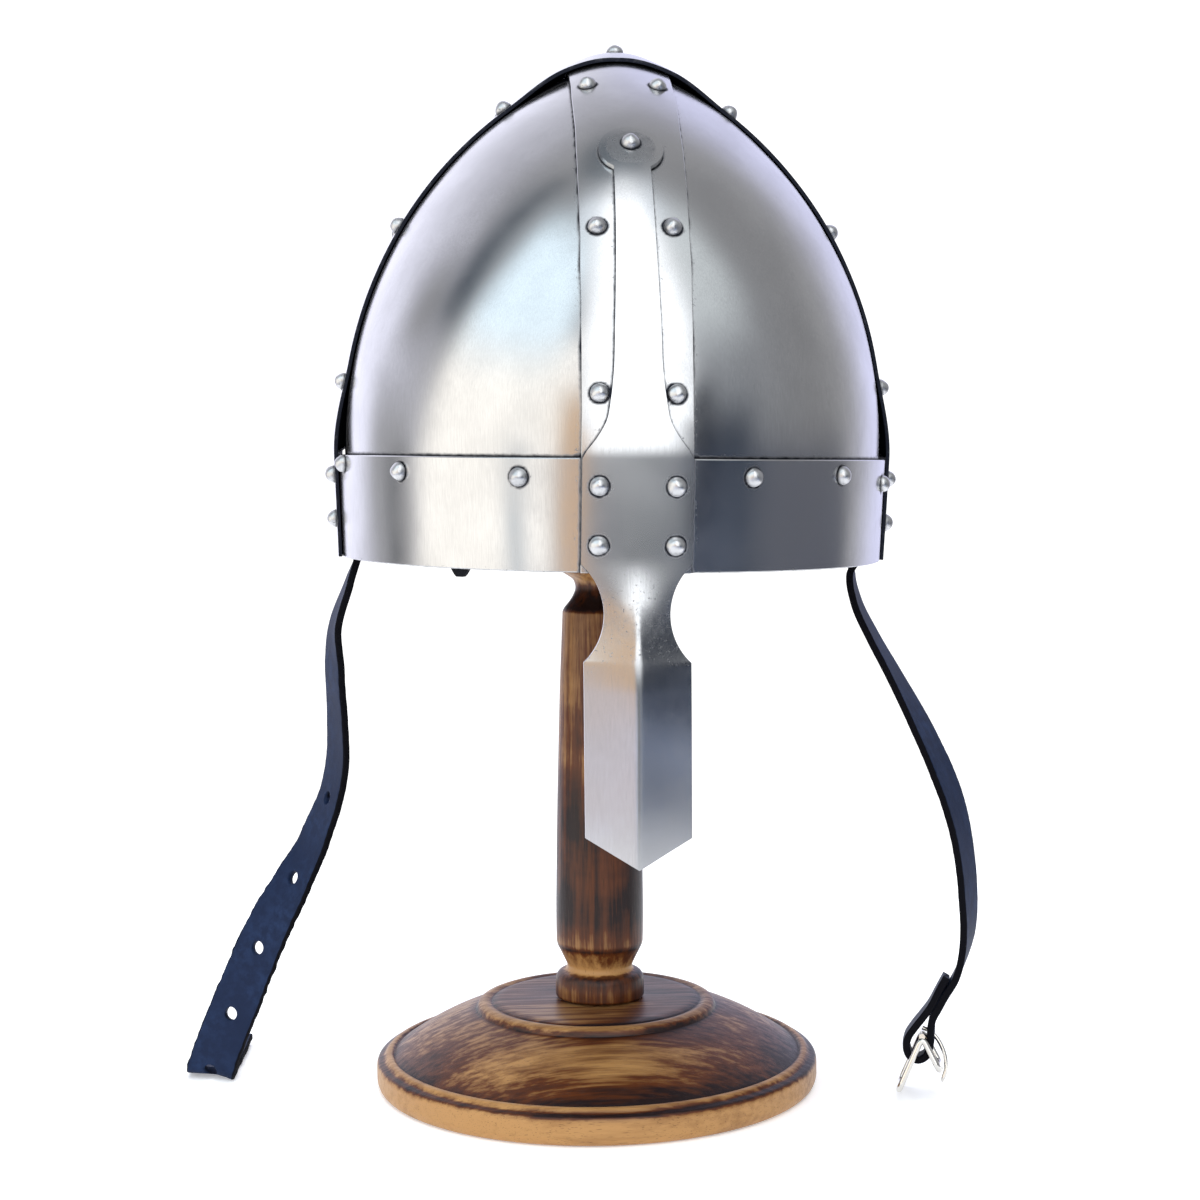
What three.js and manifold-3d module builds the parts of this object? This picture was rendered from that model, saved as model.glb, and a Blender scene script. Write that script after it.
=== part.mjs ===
// Norse iron helmet with a nasal guard and two hanging chin straps, on a turned wooden stand.
// Millimetres, +Z up. The helmet's front faces -Y, and the origin is the middle of the stand's foot.
import * as THREE from 'three';
import { mergeVertices } from 'three/addons/utils/BufferGeometryUtils.js';
import Module from 'manifold-3d';

const wasm = await Module();
wasm.setup();

// Helmet: the brow band and the dome
const BROW_WIDTH = 209.8;
const BROW_LENGTH = 240.8;
const BROW_HEIGHT = 38.8;
const BROW_TAPER = 1.7;
const SIDE_RADIUS = 156;
const CROWN_RADIUS = 27.7;
const PLATE_THICKNESS = 1.5;
const BROW_THICKNESS = 1.5;
const BAND_THICKNESS = 1.5;
const BAND_WIDTH = 38;
const BAND_STEP_RUN = 36;
const CROSSING_RUN = 26;
const CROSSING_GAP = 0.7;
const CLEARANCE = 0.3;
const PLATE_OVERLAP = 30;
const APEX_HOLE = 3;

// Nasal guard
const NASAL_THICKNESS = 1.8;
const NASAL_HEAD_RADIUS = 11.4;
const NASAL_HEAD_PLACE = 155.8;
const NASAL_NECK_WIDTH = 12.8;
const NASAL_PLATE_WIDTH = 37.6;
const NASAL_GUARD_WIDTH = 36.6;
const NASAL_LENGTH = 90.4;
const NASAL_TIP = 10.4;
const NASAL_RIDGE = 4.6;
const NOTCH_START = 3.2;
const NOTCH_LENGTH = 33.2;
const NOTCH_DEPTH = 7.3;

// Rivets
const RIVET_RADIUS = 3.3;
const RIVET_HEIGHT = 3.4;
const RIVET_SIDES = 8;
const RIVET_INSET = 6;
const RIVET_SEAT = 0.2;
const RIVET_SINK = 0.7;

// Chin straps and buckle
const STRAP_WIDTH = 20;
const STRAP_THICKNESS = 2.8;
const STRAP_HOLE = 5.5;
const STRAP_TUCK = 28;
const STRAP_ROWS = 1.25;
const TAB_WIDTH = 9;
const TAB_THICKNESS = 2;
const TAB_DROP = 3.4;
const TAB_ANGLE = -127;
const WIRE = 2.4;
const PRONG_WIRE = 1.6;
const BUCKLE_WIDTH = 24;
const BUCKLE_HEIGHT = 23.6;
const BUCKLE_TURN = THREE.MathUtils.degToRad(13);
const BUCKLE_TILT = THREE.MathUtils.degToRad(9);
const LONG_LEG_REACH = 8.8;
const LONG_LEG_DROP = 20.5;
const SHORT_LEG_REACH = 6.6;
const SHORT_LEG_DROP = 12.5;
const PRONG_DROP = 5.8;
const LOOP_RADIUS = 4.5;
const PRONG_SLOT = 3.4;

// Stand, and how the helmet sits on it
const BASE_RADIUS = 87.6;
const BASE_HEIGHT = 33.4;
const POST_RADIUS = 17.4;
const POST_OFFSET = 1.6;
const POST_LEAN = THREE.MathUtils.degToRad(0.6);
const HEAD_RADIUS = 30;
const HEAD_HEIGHT = 40;
const BRIM_HEIGHT = 209.9;
const HELMET_OFFSET = { x: 7.45, y: -2.76 };
const HELMET_LEAN = THREE.MathUtils.degToRad(1.29);

const steel = { color: 0xa9adb5, roughness: 0.34, metalness: 1 };
const brightSteel = { color: 0xc9ccd2, roughness: 0.28, metalness: 1 };
const leather = { color: 0x14182a, roughness: 0.55, metalness: 0 };
const nickel = { color: 0xcfc9bd, roughness: 0.25, metalness: 1 };
const wood = { color: 0x8a5a2e, roughness: 0.5, metalness: 0 };
const darkWood = { color: 0x4c2a17, roughness: 0.5, metalness: 0 };

const object = new THREE.Group();
const helmet = new THREE.Group();
helmet.position.set(HELMET_OFFSET.x, HELMET_OFFSET.y, BRIM_HEIGHT);
helmet.rotation.y = HELMET_LEAN;
helmet.updateMatrixWorld(true);
object.add(helmet);

function addPiece(name, geometry, finish, parent = object) {
  const mesh = new THREE.Mesh(geometry, new THREE.MeshStandardMaterial(finish));
  mesh.name = name;
  parent.add(mesh);
  return mesh;
}

// Closed meshes: only positions, shared corners, faces outward

function closedGeometry(positions, triangles) {
  const geometry = new THREE.BufferGeometry();
  geometry.setAttribute('position', new THREE.Float32BufferAttribute(positions, 3));
  geometry.setIndex(triangles);
  return facingOut(geometry);
}

function facingOut(geometry) {
  const p = geometry.attributes.position;
  const index = geometry.index;
  const [a, b, c] = [new THREE.Vector3(), new THREE.Vector3(), new THREE.Vector3()];
  let volume = 0;
  for (let i = 0; i < index.count; i += 3) {
    a.fromBufferAttribute(p, index.getX(i));
    b.fromBufferAttribute(p, index.getX(i + 1));
    c.fromBufferAttribute(p, index.getX(i + 2));
    volume += a.dot(b.cross(c));
  }
  if (volume < 0) {
    const turned = Array.from(index.array);
    for (let i = 0; i < turned.length; i += 3) {
      [turned[i + 1], turned[i + 2]] = [turned[i + 2], turned[i + 1]];
    }
    geometry.setIndex(turned);
  }
  return geometry;
}

function welded(geometry) {
  const bare = geometry.clone();
  bare.deleteAttribute('normal');
  bare.deleteAttribute('uv');
  const merged = mergeVertices(bare, 1e-4);
  const index = merged.index.array;
  const kept = [];
  for (let i = 0; i < index.length; i += 3) {
    const [a, b, c] = [index[i], index[i + 1], index[i + 2]];
    if (a !== b && b !== c && c !== a) kept.push(a, b, c);
  }
  merged.setIndex(kept);
  return facingOut(merged);
}

function solid(geometry) {
  const shape = welded(geometry);
  return new wasm.Manifold(new wasm.Mesh({
    numProp: 3,
    vertProperties: new Float32Array(shape.attributes.position.array),
    triVerts: new Uint32Array(shape.index.array),
  }));
}

function fromSolid(body) {
  const mesh = body.getMesh();
  return closedGeometry(Array.from(mesh.vertProperties), Array.from(mesh.triVerts));
}

const fuse = (first, others) => fromSolid(others.reduce((body, other) => body.add(solid(other)), solid(first)));
const cut = (first, others) => fromSolid(others.reduce((body, other) => body.subtract(solid(other)), solid(first)));

// A closed sheet of metal or leather. point(u, v, 0) is on its outer face and point(u, v, 1) on its inner
// one. A sheet that runs round and meets itself has ring set.
function sheet(us, vs, point, ring = false) {
  const positions = [];
  const triangles = [];
  const nu = us.length;
  const nv = vs.length;
  for (const side of [0, 1]) {
    for (const v of vs) {
      for (const u of us) positions.push(...point(u, v, side).toArray());
    }
  }
  const at = (i, j, side) => side * nu * nv + j * nu + (i % nu);
  const quad = (a, b, c, d) => triangles.push(a, b, c, a, c, d);
  const spans = ring ? nu : nu - 1;
  for (let j = 0; j < nv - 1; j++) {
    for (let i = 0; i < spans; i++) {
      quad(at(i, j, 0), at(i + 1, j, 0), at(i + 1, j + 1, 0), at(i, j + 1, 0));
      quad(at(i, j, 1), at(i, j + 1, 1), at(i + 1, j + 1, 1), at(i + 1, j, 1));
    }
    if (!ring) {
      quad(at(0, j, 0), at(0, j + 1, 0), at(0, j + 1, 1), at(0, j, 1));
      quad(at(nu - 1, j, 0), at(nu - 1, j, 1), at(nu - 1, j + 1, 1), at(nu - 1, j + 1, 0));
    }
  }
  for (let i = 0; i < spans; i++) {
    quad(at(i, 0, 0), at(i, 0, 1), at(i + 1, 0, 1), at(i + 1, 0, 0));
    quad(at(i, nv - 1, 0), at(i + 1, nv - 1, 0), at(i + 1, nv - 1, 1), at(i, nv - 1, 1));
  }
  return closedGeometry(positions, triangles);
}

const steps = (from, to, count) => Array.from({ length: count + 1 }, (_, i) => from + (to - from) * i / count);

// From 1 down to 0 over the run that starts at begin
function fadeOut(value, begin, run) {
  return 1 - THREE.MathUtils.smoothstep(value, begin, begin + run);
}

// Form of the dome: an arch turned about the helmet's axis and stretched from front to back. The arch is
// the straight slope of the brow, a long side arc and a small crown arc, each tangent to the next. Its
// places are distances along the side arch, from 0 at the brim to CREST at the top.
const SKIN = CLEARANCE + BROW_THICKNESS;
const FORM_HALF_WIDTH = BROW_WIDTH / 2 - SKIN;
const STRETCH = (BROW_LENGTH / 2 - SKIN) / FORM_HALF_WIDTH;
const FLARE = Math.atan2(BROW_TAPER, BROW_HEIGHT);
const SLOPE_LENGTH = Math.hypot(BROW_TAPER, BROW_HEIGHT);
const SIDE_CENTRE = {
  x: FORM_HALF_WIDTH - SIDE_RADIUS * Math.cos(FLARE),
  z: BROW_HEIGHT + SIDE_RADIUS * Math.sin(FLARE),
};
const CROWN_CENTRE = SIDE_CENTRE.z + Math.sqrt((SIDE_RADIUS - CROWN_RADIUS) ** 2 - SIDE_CENTRE.x ** 2);
const MEETING_ANGLE = Math.atan2(CROWN_CENTRE - SIDE_CENTRE.z, -SIDE_CENTRE.x);
const SIDE_LENGTH = SIDE_RADIUS * (MEETING_ANGLE + FLARE);
const CREST = SLOPE_LENGTH + SIDE_LENGTH + CROWN_RADIUS * (Math.PI / 2 - MEETING_ANGLE);

function arch(s) {
  if (s <= SLOPE_LENGTH) {
    const below = SLOPE_LENGTH - s;
    return {
      x: FORM_HALF_WIDTH - below * Math.sin(FLARE),
      z: BROW_HEIGHT - below * Math.cos(FLARE),
      angle: -FLARE,
    };
  }
  if (s <= SLOPE_LENGTH + SIDE_LENGTH) {
    const angle = (s - SLOPE_LENGTH) / SIDE_RADIUS - FLARE;
    const x = SIDE_CENTRE.x + SIDE_RADIUS * Math.cos(angle);
    return { x, z: SIDE_CENTRE.z + SIDE_RADIUS * Math.sin(angle), angle };
  }
  const angle = MEETING_ANGLE + (s - SLOPE_LENGTH - SIDE_LENGTH) / CROWN_RADIUS;
  return {
    x: CROWN_RADIUS * Math.cos(angle),
    z: CROWN_CENTRE + CROWN_RADIUS * Math.sin(angle),
    angle,
  };
}

function formNormal(s, turn) {
  const { angle } = arch(s);
  return new THREE.Vector3(
    STRETCH * Math.cos(angle) * Math.cos(turn),
    Math.cos(angle) * Math.sin(turn),
    STRETCH * Math.sin(angle),
  ).normalize();
}

function formPoint(s, turn, outward) {
  const { x, z } = arch(s);
  const point = new THREE.Vector3(x * Math.cos(turn), STRETCH * x * Math.sin(turn), z);
  return point.addScaledVector(formNormal(s, turn), outward);
}

// How far a point stands off the form, measured on the side arch
function standOff({ x, y, z }) {
  const r = Math.hypot(x, y / STRETCH);
  const angle = Math.atan2(z - SIDE_CENTRE.z, r - SIDE_CENTRE.x);
  if (angle < -FLARE) return (r - FORM_HALF_WIDTH + (BROW_HEIGHT - z) * Math.tan(FLARE)) * Math.cos(FLARE);
  if (angle < MEETING_ANGLE) return Math.hypot(r - SIDE_CENTRE.x, z - SIDE_CENTRE.z) - SIDE_RADIUS;
  return Math.hypot(r, z - CROWN_CENTRE) - CROWN_RADIUS;
}

// How far the form falls away at this distance sideways of a band's middle line
function fallAway(s, turn, sideways, across) {
  const normal = formNormal(s, turn);
  const start = formPoint(s, turn, 0).addScaledVector(sideways, across);
  let fall = 0;
  for (let i = 0; i < 12; i++) fall += standOff(start.clone().addScaledVector(normal, -fall));
  return fall;
}

const SIDE_STEPS = 11;
const CROWN_STEPS = 3;
const TURN_STEPS = 9;
const dome = steps(SLOPE_LENGTH, SLOPE_LENGTH + SIDE_LENGTH, SIDE_STEPS);
const crown = steps(SLOPE_LENGTH + SIDE_LENGTH, CREST, CROWN_STEPS).slice(1);
const FRONT = -Math.PI / 2;
const LEFT = Math.PI;

// Where a distance along the front arch, from the brim, lies on the side arch
const frontDistances = steps(0, CREST, 240).reduce((list, s, i, all) => {
  if (i === 0) return [{ s, distance: 0 }];
  const { angle } = arch((s + all[i - 1]) / 2);
  const length = (s - all[i - 1]) * Math.hypot(STRETCH * Math.sin(angle), Math.cos(angle));
  return [...list, { s, distance: list[i - 1].distance + length }];
}, []);

function frontPlace(distance) {
  if (distance <= 0) return distance;
  const next = frontDistances.findIndex((row) => row.distance >= distance);
  const [low, high] = [frontDistances[next - 1], frontDistances[next]];
  return low.s + (high.s - low.s) * (distance - low.distance) / (high.distance - low.distance);
}

// The four dome plates, each moved out a little so that its edges stay clear of the next
const plateRows = [SLOPE_LENGTH - PLATE_OVERLAP, ...dome, ...crown.slice(0, -1), CREST - APEX_HOLE];
const plateCorners = [
  { name: 'dome_plate_front_left', x: -1, y: -1 },
  { name: 'dome_plate_front_right', x: 1, y: -1 },
  { name: 'dome_plate_rear_left', x: -1, y: 1 },
  { name: 'dome_plate_rear_right', x: 1, y: 1 },
];
for (const corner of plateCorners) {
  const point = (turn, s, side) => {
    const place = formPoint(s, turn, -PLATE_THICKNESS * side);
    return new THREE.Vector3(corner.x * Math.max(place.x, 0), corner.y * Math.max(place.y, 0), place.z);
  };
  const plate = addPiece(corner.name, sheet(steps(0, Math.PI / 2, TURN_STEPS), plateRows, point), steel, helmet);
  plate.position.set(corner.x * CLEARANCE / 2, corner.y * CLEARANCE / 2, 0);
}

// Rivets: a domed head on a surface, its axis along the surface's normal
function rivetHead() {
  const [r, h] = [RIVET_RADIUS, RIVET_HEIGHT];
  const profile = [[0, 0], [r, 0], [0.93 * r, 0.4 * h], [0.66 * r, 0.77 * h], [0, h]];
  const head = new THREE.LatheGeometry(profile.map(([x, y]) => new THREE.Vector2(x, y)), RIVET_SIDES);
  return welded(head);
}

const UP = new THREE.Vector3(0, 1, 0);

function addRivet(name, spot) {
  const mesh = addPiece(name, rivetHead(), brightSteel, helmet);
  mesh.position.copy(spot.point).addScaledVector(spot.normal, RIVET_SEAT);
  mesh.quaternion.setFromUnitVectors(UP, spot.normal);
}

function sunkRivet(spot) {
  const seat = new THREE.Matrix4().compose(
    spot.point.clone().addScaledVector(spot.normal, -RIVET_SINK),
    new THREE.Quaternion().setFromUnitVectors(UP, spot.normal),
    new THREE.Vector3(1, 1, 1),
  );
  return rivetHead().applyMatrix4(seat);
}

// Brow band, a ring round the plates' lower edges
const browPoint = (turn, s, side) => formPoint(s, turn, SKIN - BROW_THICKNESS * side);
const browTurns = steps(0, 2 * Math.PI, 4 * TURN_STEPS).slice(0, -1);
const browRing = sheet(browTurns, [0, SLOPE_LENGTH], browPoint, true);
const browSpot = (row, end) => {
  const turn = end * (Math.PI / 2 - THREE.MathUtils.degToRad(row.turn));
  const s = row.height * BROW_HEIGHT;
  return { point: formPoint(s, turn, SKIN), normal: formNormal(s, turn) };
};
const browRivets = [
  { side: 'left', turn: -75.4, height: 0.92 },
  { side: 'left', turn: -49.5, height: 0.86 },
  { side: 'left', turn: -22.0, height: 0.83 },
  { side: 'right', turn: 22.5, height: 0.84 },
  { side: 'right', turn: 46.0, height: 0.86 },
  { side: 'right', turn: 69.4, height: 0.77 },
];
addPiece('brow_band', fuse(browRing, browRivets.map((row) => sunkRivet(browSpot(row, 1)))), steel, helmet);
browRivets.forEach((row, i) => addRivet(`rivet_brow_${row.side}_${i + 1}`, browSpot(row, -1)));

// The two bands over the dome. Each stands off to pass over the brow band, and the cross band also
// stands off to pass over the band from front to back.
const CROSSING = BAND_WIDTH * 0.56;
const overBrow = (s) => CLEARANCE + (BROW_THICKNESS + CLEARANCE) * fadeOut(s, SLOPE_LENGTH, BAND_STEP_RUN);
const overCrown = (s) => (
  overBrow(s) + (BAND_THICKNESS + CROSSING_GAP) * fadeOut(CREST - s, CROSSING, CROSSING_RUN)
);
const bands = {
  foreAft: { heading: FRONT, lift: overBrow },
  cross: { heading: LEFT, lift: overCrown },
};

// A point on a band: along is the distance from the apex, negative on the side of the band's heading,
// across is the distance from its middle line, and outward is measured from its inner face.
const FLAT_SHARE = 0.2;
function bandFrame(band, along) {
  const s = CREST - Math.abs(along);
  const turn = along < 0 ? band.heading : band.heading + Math.PI;
  const sideways = new THREE.Vector3(-Math.sin(band.heading), Math.cos(band.heading), 0);
  const follow = 1 - FLAT_SHARE * Math.cos(arch(s).angle);
  return {
    middle: formPoint(s, turn, band.lift(s)),
    normal: formNormal(s, turn),
    sideways,
    fall: (across) => follow * fallAway(s, turn, sideways, across),
  };
}

function bandPoint(band, along, across, outward) {
  const { middle, normal, sideways, fall } = bandFrame(band, along);
  return middle.addScaledVector(sideways, across).addScaledVector(normal, outward - fall(across));
}

function bandSpot(band, along, across, outward) {
  const { normal, sideways, fall } = bandFrame(band, along);
  const tilt = (fall(across + RIVET_RADIUS) - fall(across - RIVET_RADIUS)) / (2 * RIVET_RADIUS);
  return {
    point: bandPoint(band, along, across, outward),
    normal: normal.addScaledVector(sideways, tilt).normalize(),
  };
}

const halfRun = [0, ...dome.slice(0, -1), CREST - CROSSING, ...dome.slice(-1), ...crown].map((s) => CREST - s);
const bandRuns = [...halfRun.map((d) => -d), ...halfRun.slice(0, -1).reverse()];
const bandAcross = steps(-1, 1, 6);
const bandSheet = (band) => sheet(bandAcross, bandRuns, (across, along, side) => (
  bandPoint(band, along, across * BAND_WIDTH / 2, BAND_THICKNESS * (1 - side))
));

// Rivets of the bands: pairs at these distances from the brim, measured along each arch
const rivetLine = BAND_WIDTH / 2 - RIVET_INSET;
const crossRivets = [0.061, 0.133, 0.281, 0.545, 0.797];
const frontRivets = [60.3, 121.1, 204.2].map((distance) => frontPlace(distance) / CREST);
const browPairs = [0.034, 0.128];
const pairSpots = (band, shares, end, outward) => shares.flatMap((share) => [-1, 1].map((row) => (
  bandSpot(band, end * CREST * (1 - share), row * rivetLine, outward)
)));

const foreAftRivets = pairSpots(bands.foreAft, [...browPairs, ...frontRivets], 1, BAND_THICKNESS);
addPiece('fore_aft_band', fuse(bandSheet(bands.foreAft), foreAftRivets.map(sunkRivet)), steel, helmet);
pairSpots(bands.foreAft, frontRivets, -1, BAND_THICKNESS)
  .forEach((spot, i) => addRivet(`rivet_front_${i + 1}`, spot));

addPiece('cross_band', bandSheet(bands.cross), steel, helmet);
for (const [side, end] of [['left', -1], ['right', 1]]) {
  pairSpots(bands.cross, crossRivets, end, BAND_THICKNESS)
    .forEach((spot, i) => addRivet(`rivet_cross_${side}_${i + 1}`, spot));
}
addRivet('rivet_apex', bandSpot(bands.cross, 0, 0, BAND_THICKNESS));

// Nasal guard: a round head, a narrow neck that widens to a plate on the brow, a notch on each side and
// a folded guard with a pointed end. Its rows are distances from the brim and half widths there. Below
// the brim the guard swings back by the helmet's lean and so hangs upright.
const headRows = [80, 52, 26, 0, -26, -46].map((degrees) => {
  const angle = THREE.MathUtils.degToRad(degrees);
  return {
    place: NASAL_HEAD_PLACE + NASAL_HEAD_RADIUS * Math.sin(angle),
    half: NASAL_HEAD_RADIUS * Math.cos(angle),
  };
});
const neckFoot = Math.sqrt(NASAL_HEAD_RADIUS ** 2 - (NASAL_NECK_WIDTH / 2) ** 2);
const flareRows = [
  { share: 1.00, widening: 0.00 },
  { share: 0.90, widening: 0.01 },
  { share: 0.80, widening: 0.02 },
  { share: 0.70, widening: 0.04 },
  { share: 0.60, widening: 0.06 },
  { share: 0.51, widening: 0.08 },
  { share: 0.42, widening: 0.11 },
  { share: 0.34, widening: 0.13 },
  { share: 0.26, widening: 0.16 },
  { share: 0.18, widening: 0.24 },
  { share: 0.11, widening: 0.37 },
  { share: 0.055, widening: 0.66 },
  { share: 0.02, widening: 0.90 },
  { share: 0.00, widening: 1.00 },
].map(({ share, widening }) => ({
  place: BROW_HEIGHT + share * (NASAL_HEAD_PLACE - neckFoot - BROW_HEIGHT),
  half: (NASAL_NECK_WIDTH + widening * (NASAL_PLATE_WIDTH - NASAL_NECK_WIDTH)) / 2,
}));
const notchRadius = ((NOTCH_LENGTH / 2) ** 2 + NOTCH_DEPTH ** 2) / (2 * NOTCH_DEPTH);
const notchRows = steps(-1, 1, 8).map((t) => {
  const offset = t * NOTCH_LENGTH / 2;
  const bite = Math.sqrt(notchRadius ** 2 - offset ** 2) - (notchRadius - NOTCH_DEPTH);
  const width = THREE.MathUtils.lerp(NASAL_PLATE_WIDTH, NASAL_GUARD_WIDTH, (t + 1) / 2);
  return { place: NOTCH_START - NOTCH_LENGTH / 2 - offset, half: width / 2 - bite };
});
const guardRows = steps(notchRows.at(-1).place, -NASAL_LENGTH, 2).slice(1)
  .map((place) => ({ place, half: NASAL_GUARD_WIDTH / 2 }));
const nasalRows = [...headRows, ...flareRows, ...notchRows, ...guardRows];

const foldStart = NOTCH_START - NOTCH_LENGTH * 0.35;
const foldEnd = NOTCH_START - NOTCH_LENGTH * 1.15;
const overBand = BAND_THICKNESS + CLEARANCE;

function nasalPoint(across, row, side) {
  const fold = THREE.MathUtils.smoothstep(-row.place, -foldStart, -foldEnd);
  const tip = NASAL_TIP * THREE.MathUtils.smoothstep(-row.place, NASAL_LENGTH * 0.6, NASAL_LENGTH);
  const place = frontPlace(row.place) - tip * (1 - Math.abs(across));
  const along = place - CREST;
  const { middle, normal, sideways, fall } = bandFrame(bands.foreAft, along);
  const offset = across * row.half;
  const swing = -Math.min(row.place, 0) * Math.sin(HELMET_LEAN);
  const ridge = fold * NASAL_RIDGE * (1 - Math.abs(across)) - (1 - fold) * fall(offset);
  const outward = overBand + NASAL_THICKNESS * (1 - side) + ridge;
  return middle.addScaledVector(sideways, offset + swing).addScaledVector(normal, outward);
}
addPiece('nasal', sheet(steps(-1, 1, 4), nasalRows, nasalPoint), steel, helmet);

const nasalRivets = [
  { place: 0.062, across: -1 },
  { place: 0.062, across: 1 },
  { place: 0.19, across: -1 },
  { place: 0.19, across: 1 },
  { place: 1.014, across: 0 },
];
nasalRivets.forEach((row, i) => {
  const along = frontPlace(row.place * NASAL_HEAD_PLACE) - CREST;
  const spot = bandSpot(bands.foreAft, along, row.across * rivetLine, overBand + NASAL_THICKNESS);
  addRivet(`rivet_nasal_${i + 1}`, spot);
});

// A strap: a flat strip carried along a curve. Each station has a middle point and a turn, which is 0
// with the strip's width fore and aft and 90 with its width to the sides.
function ribbon(stations) {
  const curve = new THREE.CatmullRomCurve3(stations.map((row) => row.point), false, 'centripetal');
  return (across, row, side) => {
    const low = Math.min(Math.floor(row), stations.length - 2);
    const t = row / (stations.length - 1);
    const tangent = curve.getTangent(t);
    const width = stations[low].width.clone().lerp(stations[low + 1].width, row - low);
    width.addScaledVector(tangent, -width.dot(tangent)).normalize();
    const normal = new THREE.Vector3().crossVectors(tangent, width).normalize();
    const lift = STRAP_THICKNESS * (0.5 - side);
    return curve.getPoint(t).addScaledVector(width, across * STRAP_WIDTH / 2).addScaledVector(normal, lift);
  };
}

function strapGeometry(stations) {
  const last = stations.length - 1;
  return sheet([-1, 1], steps(0, last, Math.round(last * STRAP_ROWS)), ribbon(stations));
}

function widthAt(turn, out) {
  const angle = THREE.MathUtils.degToRad(turn);
  return new THREE.Vector3(out * Math.sin(angle), Math.cos(angle), 0);
}

// The tucked upper end lies against the inside of the dome plate
function tuckedStations(turn) {
  const inward = -(PLATE_THICKNESS + CLEARANCE + STRAP_THICKNESS / 2 + 0.5);
  return [STRAP_TUCK, STRAP_TUCK / 2, 1].map((s) => ({
    point: helmet.localToWorld(formPoint(s, turn, inward)),
    width: widthAt(0, 1),
  }));
}

// Below the brim: fall is a share of the brim's height, out and back are shares of the brow's half width
const hanging = (rows, out) => rows.map(([fall, sideways, back, turn]) => ({
  point: new THREE.Vector3(
    HELMET_OFFSET.x + out * sideways * BROW_WIDTH / 2,
    back * BROW_WIDTH / 2,
    BRIM_HEIGHT * (1 - fall),
  ),
  width: widthAt(turn, out),
}));

const leftStrapRows = [
  [0.040, 0.970, -0.015, 5],
  [0.130, 1.031, 0.005, 10],
  [0.198, 1.036, 0.019, 19],
  [0.301, 1.030, 0.035, 21],
  [0.385, 1.035, 0.045, 22],
  [0.451, 1.062, 0.055, 25],
  [0.506, 1.106, 0.065, 31],
  [0.556, 1.151, 0.075, 36],
  [0.619, 1.220, 0.085, 48],
  [0.691, 1.301, 0.095, 57],
  [0.765, 1.370, 0.105, 64],
  [0.840, 1.436, 0.115, 68],
  [0.911, 1.495, 0.125, 70],
  [0.958, 1.532, 0.134, 68],
  [0.981, 1.546, 0.150, 68],
  [0.988, 1.548, 0.190, 70],
  [0.989, 1.539, 0.400, 74],
  [0.985, 1.526, 0.630, 76],
];
const leftStations = [...tuckedStations(LEFT), ...hanging(leftStrapRows, -1)];
const leftStrap = strapGeometry(leftStations);

// Holes punched through the strap, at these places between its stations
const leftHolePlaces = [0.401, 0.539, 0.634, 0.719, 0.840];
const leftRibbon = ribbon(leftStations);
const holeCutters = leftHolePlaces.map((share) => {
  const row = share * (leftStations.length - 1);
  const [front, rear] = [leftRibbon(0, row, 0), leftRibbon(0, row, 1)];
  const middle = front.clone().lerp(rear, 0.5);
  const axis = front.sub(rear).normalize();
  const punch = new THREE.CylinderGeometry(STRAP_HOLE / 2, STRAP_HOLE / 2, STRAP_THICKNESS * 3, 6);
  const turn = new THREE.Quaternion().setFromUnitVectors(UP, axis);
  return punch.applyMatrix4(new THREE.Matrix4().compose(middle, turn, new THREE.Vector3(1, 1, 1)));
});
addPiece('strap_left', cut(leftStrap, holeCutters), leather);

const rightStrapRows = [
  [0.040, 0.915, -0.027, 14],
  [0.092, 0.932, -0.038, 16],
  [0.160, 0.989, -0.060, 19],
  [0.236, 1.068, -0.086, 23],
  [0.326, 1.157, -0.124, 30],
  [0.402, 1.221, -0.159, 33],
  [0.478, 1.269, -0.196, 32],
  [0.570, 1.299, -0.238, 29],
  [0.639, 1.304, -0.267, 27],
  [0.707, 1.295, -0.292, 24],
  [0.752, 1.271, -0.306, 19],
];

// The buckle's own frame: the bar's middle is its origin, and the bar lies along its Y
const barCentre = new THREE.Vector3(
  HELMET_OFFSET.x + 1.1174 * BROW_WIDTH / 2,
  HELMET_OFFSET.y - 0.2956 * BROW_WIDTH / 2,
  BUCKLE_HEIGHT,
);
const buckleFrame = new THREE.Matrix4().makeTranslation(barCentre)
  .multiply(new THREE.Matrix4().makeRotationZ(-BUCKLE_TURN))
  .multiply(new THREE.Matrix4().makeRotationX(-BUCKLE_TILT));
const inBuckle = (x, y, z) => new THREE.Vector3(x, y, z).applyMatrix4(buckleFrame);
const barAxis = new THREE.Vector3(0, 1, 0).transformDirection(buckleFrame);

// Middle line of the strap round the bar: right and up, as shares of the loop's radius
const loopStations = [
  [2.76, 4.71], [1.93, 3.29], [1.38, 2.22], [0.93, 1.33], [0.80, 0.62], [0.76, -0.27], [0.62, -1.16],
  [0.36, -1.69], [-0.36, -2.04], [-1.07, -1.69], [-1.33, -0.98], [-1.20, -0.18], [-0.71, 0.62],
  [0.04, 1.62], [0.73, 2.58], [1.40, 3.84], [2.07, 5.02],
].map(([right, up]) => ({ point: inBuckle(right * LOOP_RADIUS, 0, up * LOOP_RADIUS), width: barAxis }));
const rightStations = [...tuckedStations(0), ...hanging(rightStrapRows, 1), ...loopStations];
const slot = new THREE.BoxGeometry(LOOP_RADIUS * 1.45, PRONG_SLOT, LOOP_RADIUS * 2.1)
  .applyMatrix4(new THREE.Matrix4().makeTranslation(LOOP_RADIUS * 1.05, 0, -LOOP_RADIUS * 0.28))
  .applyMatrix4(buckleFrame);
addPiece('strap_right', cut(strapGeometry(rightStations), [slot]), leather);

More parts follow.
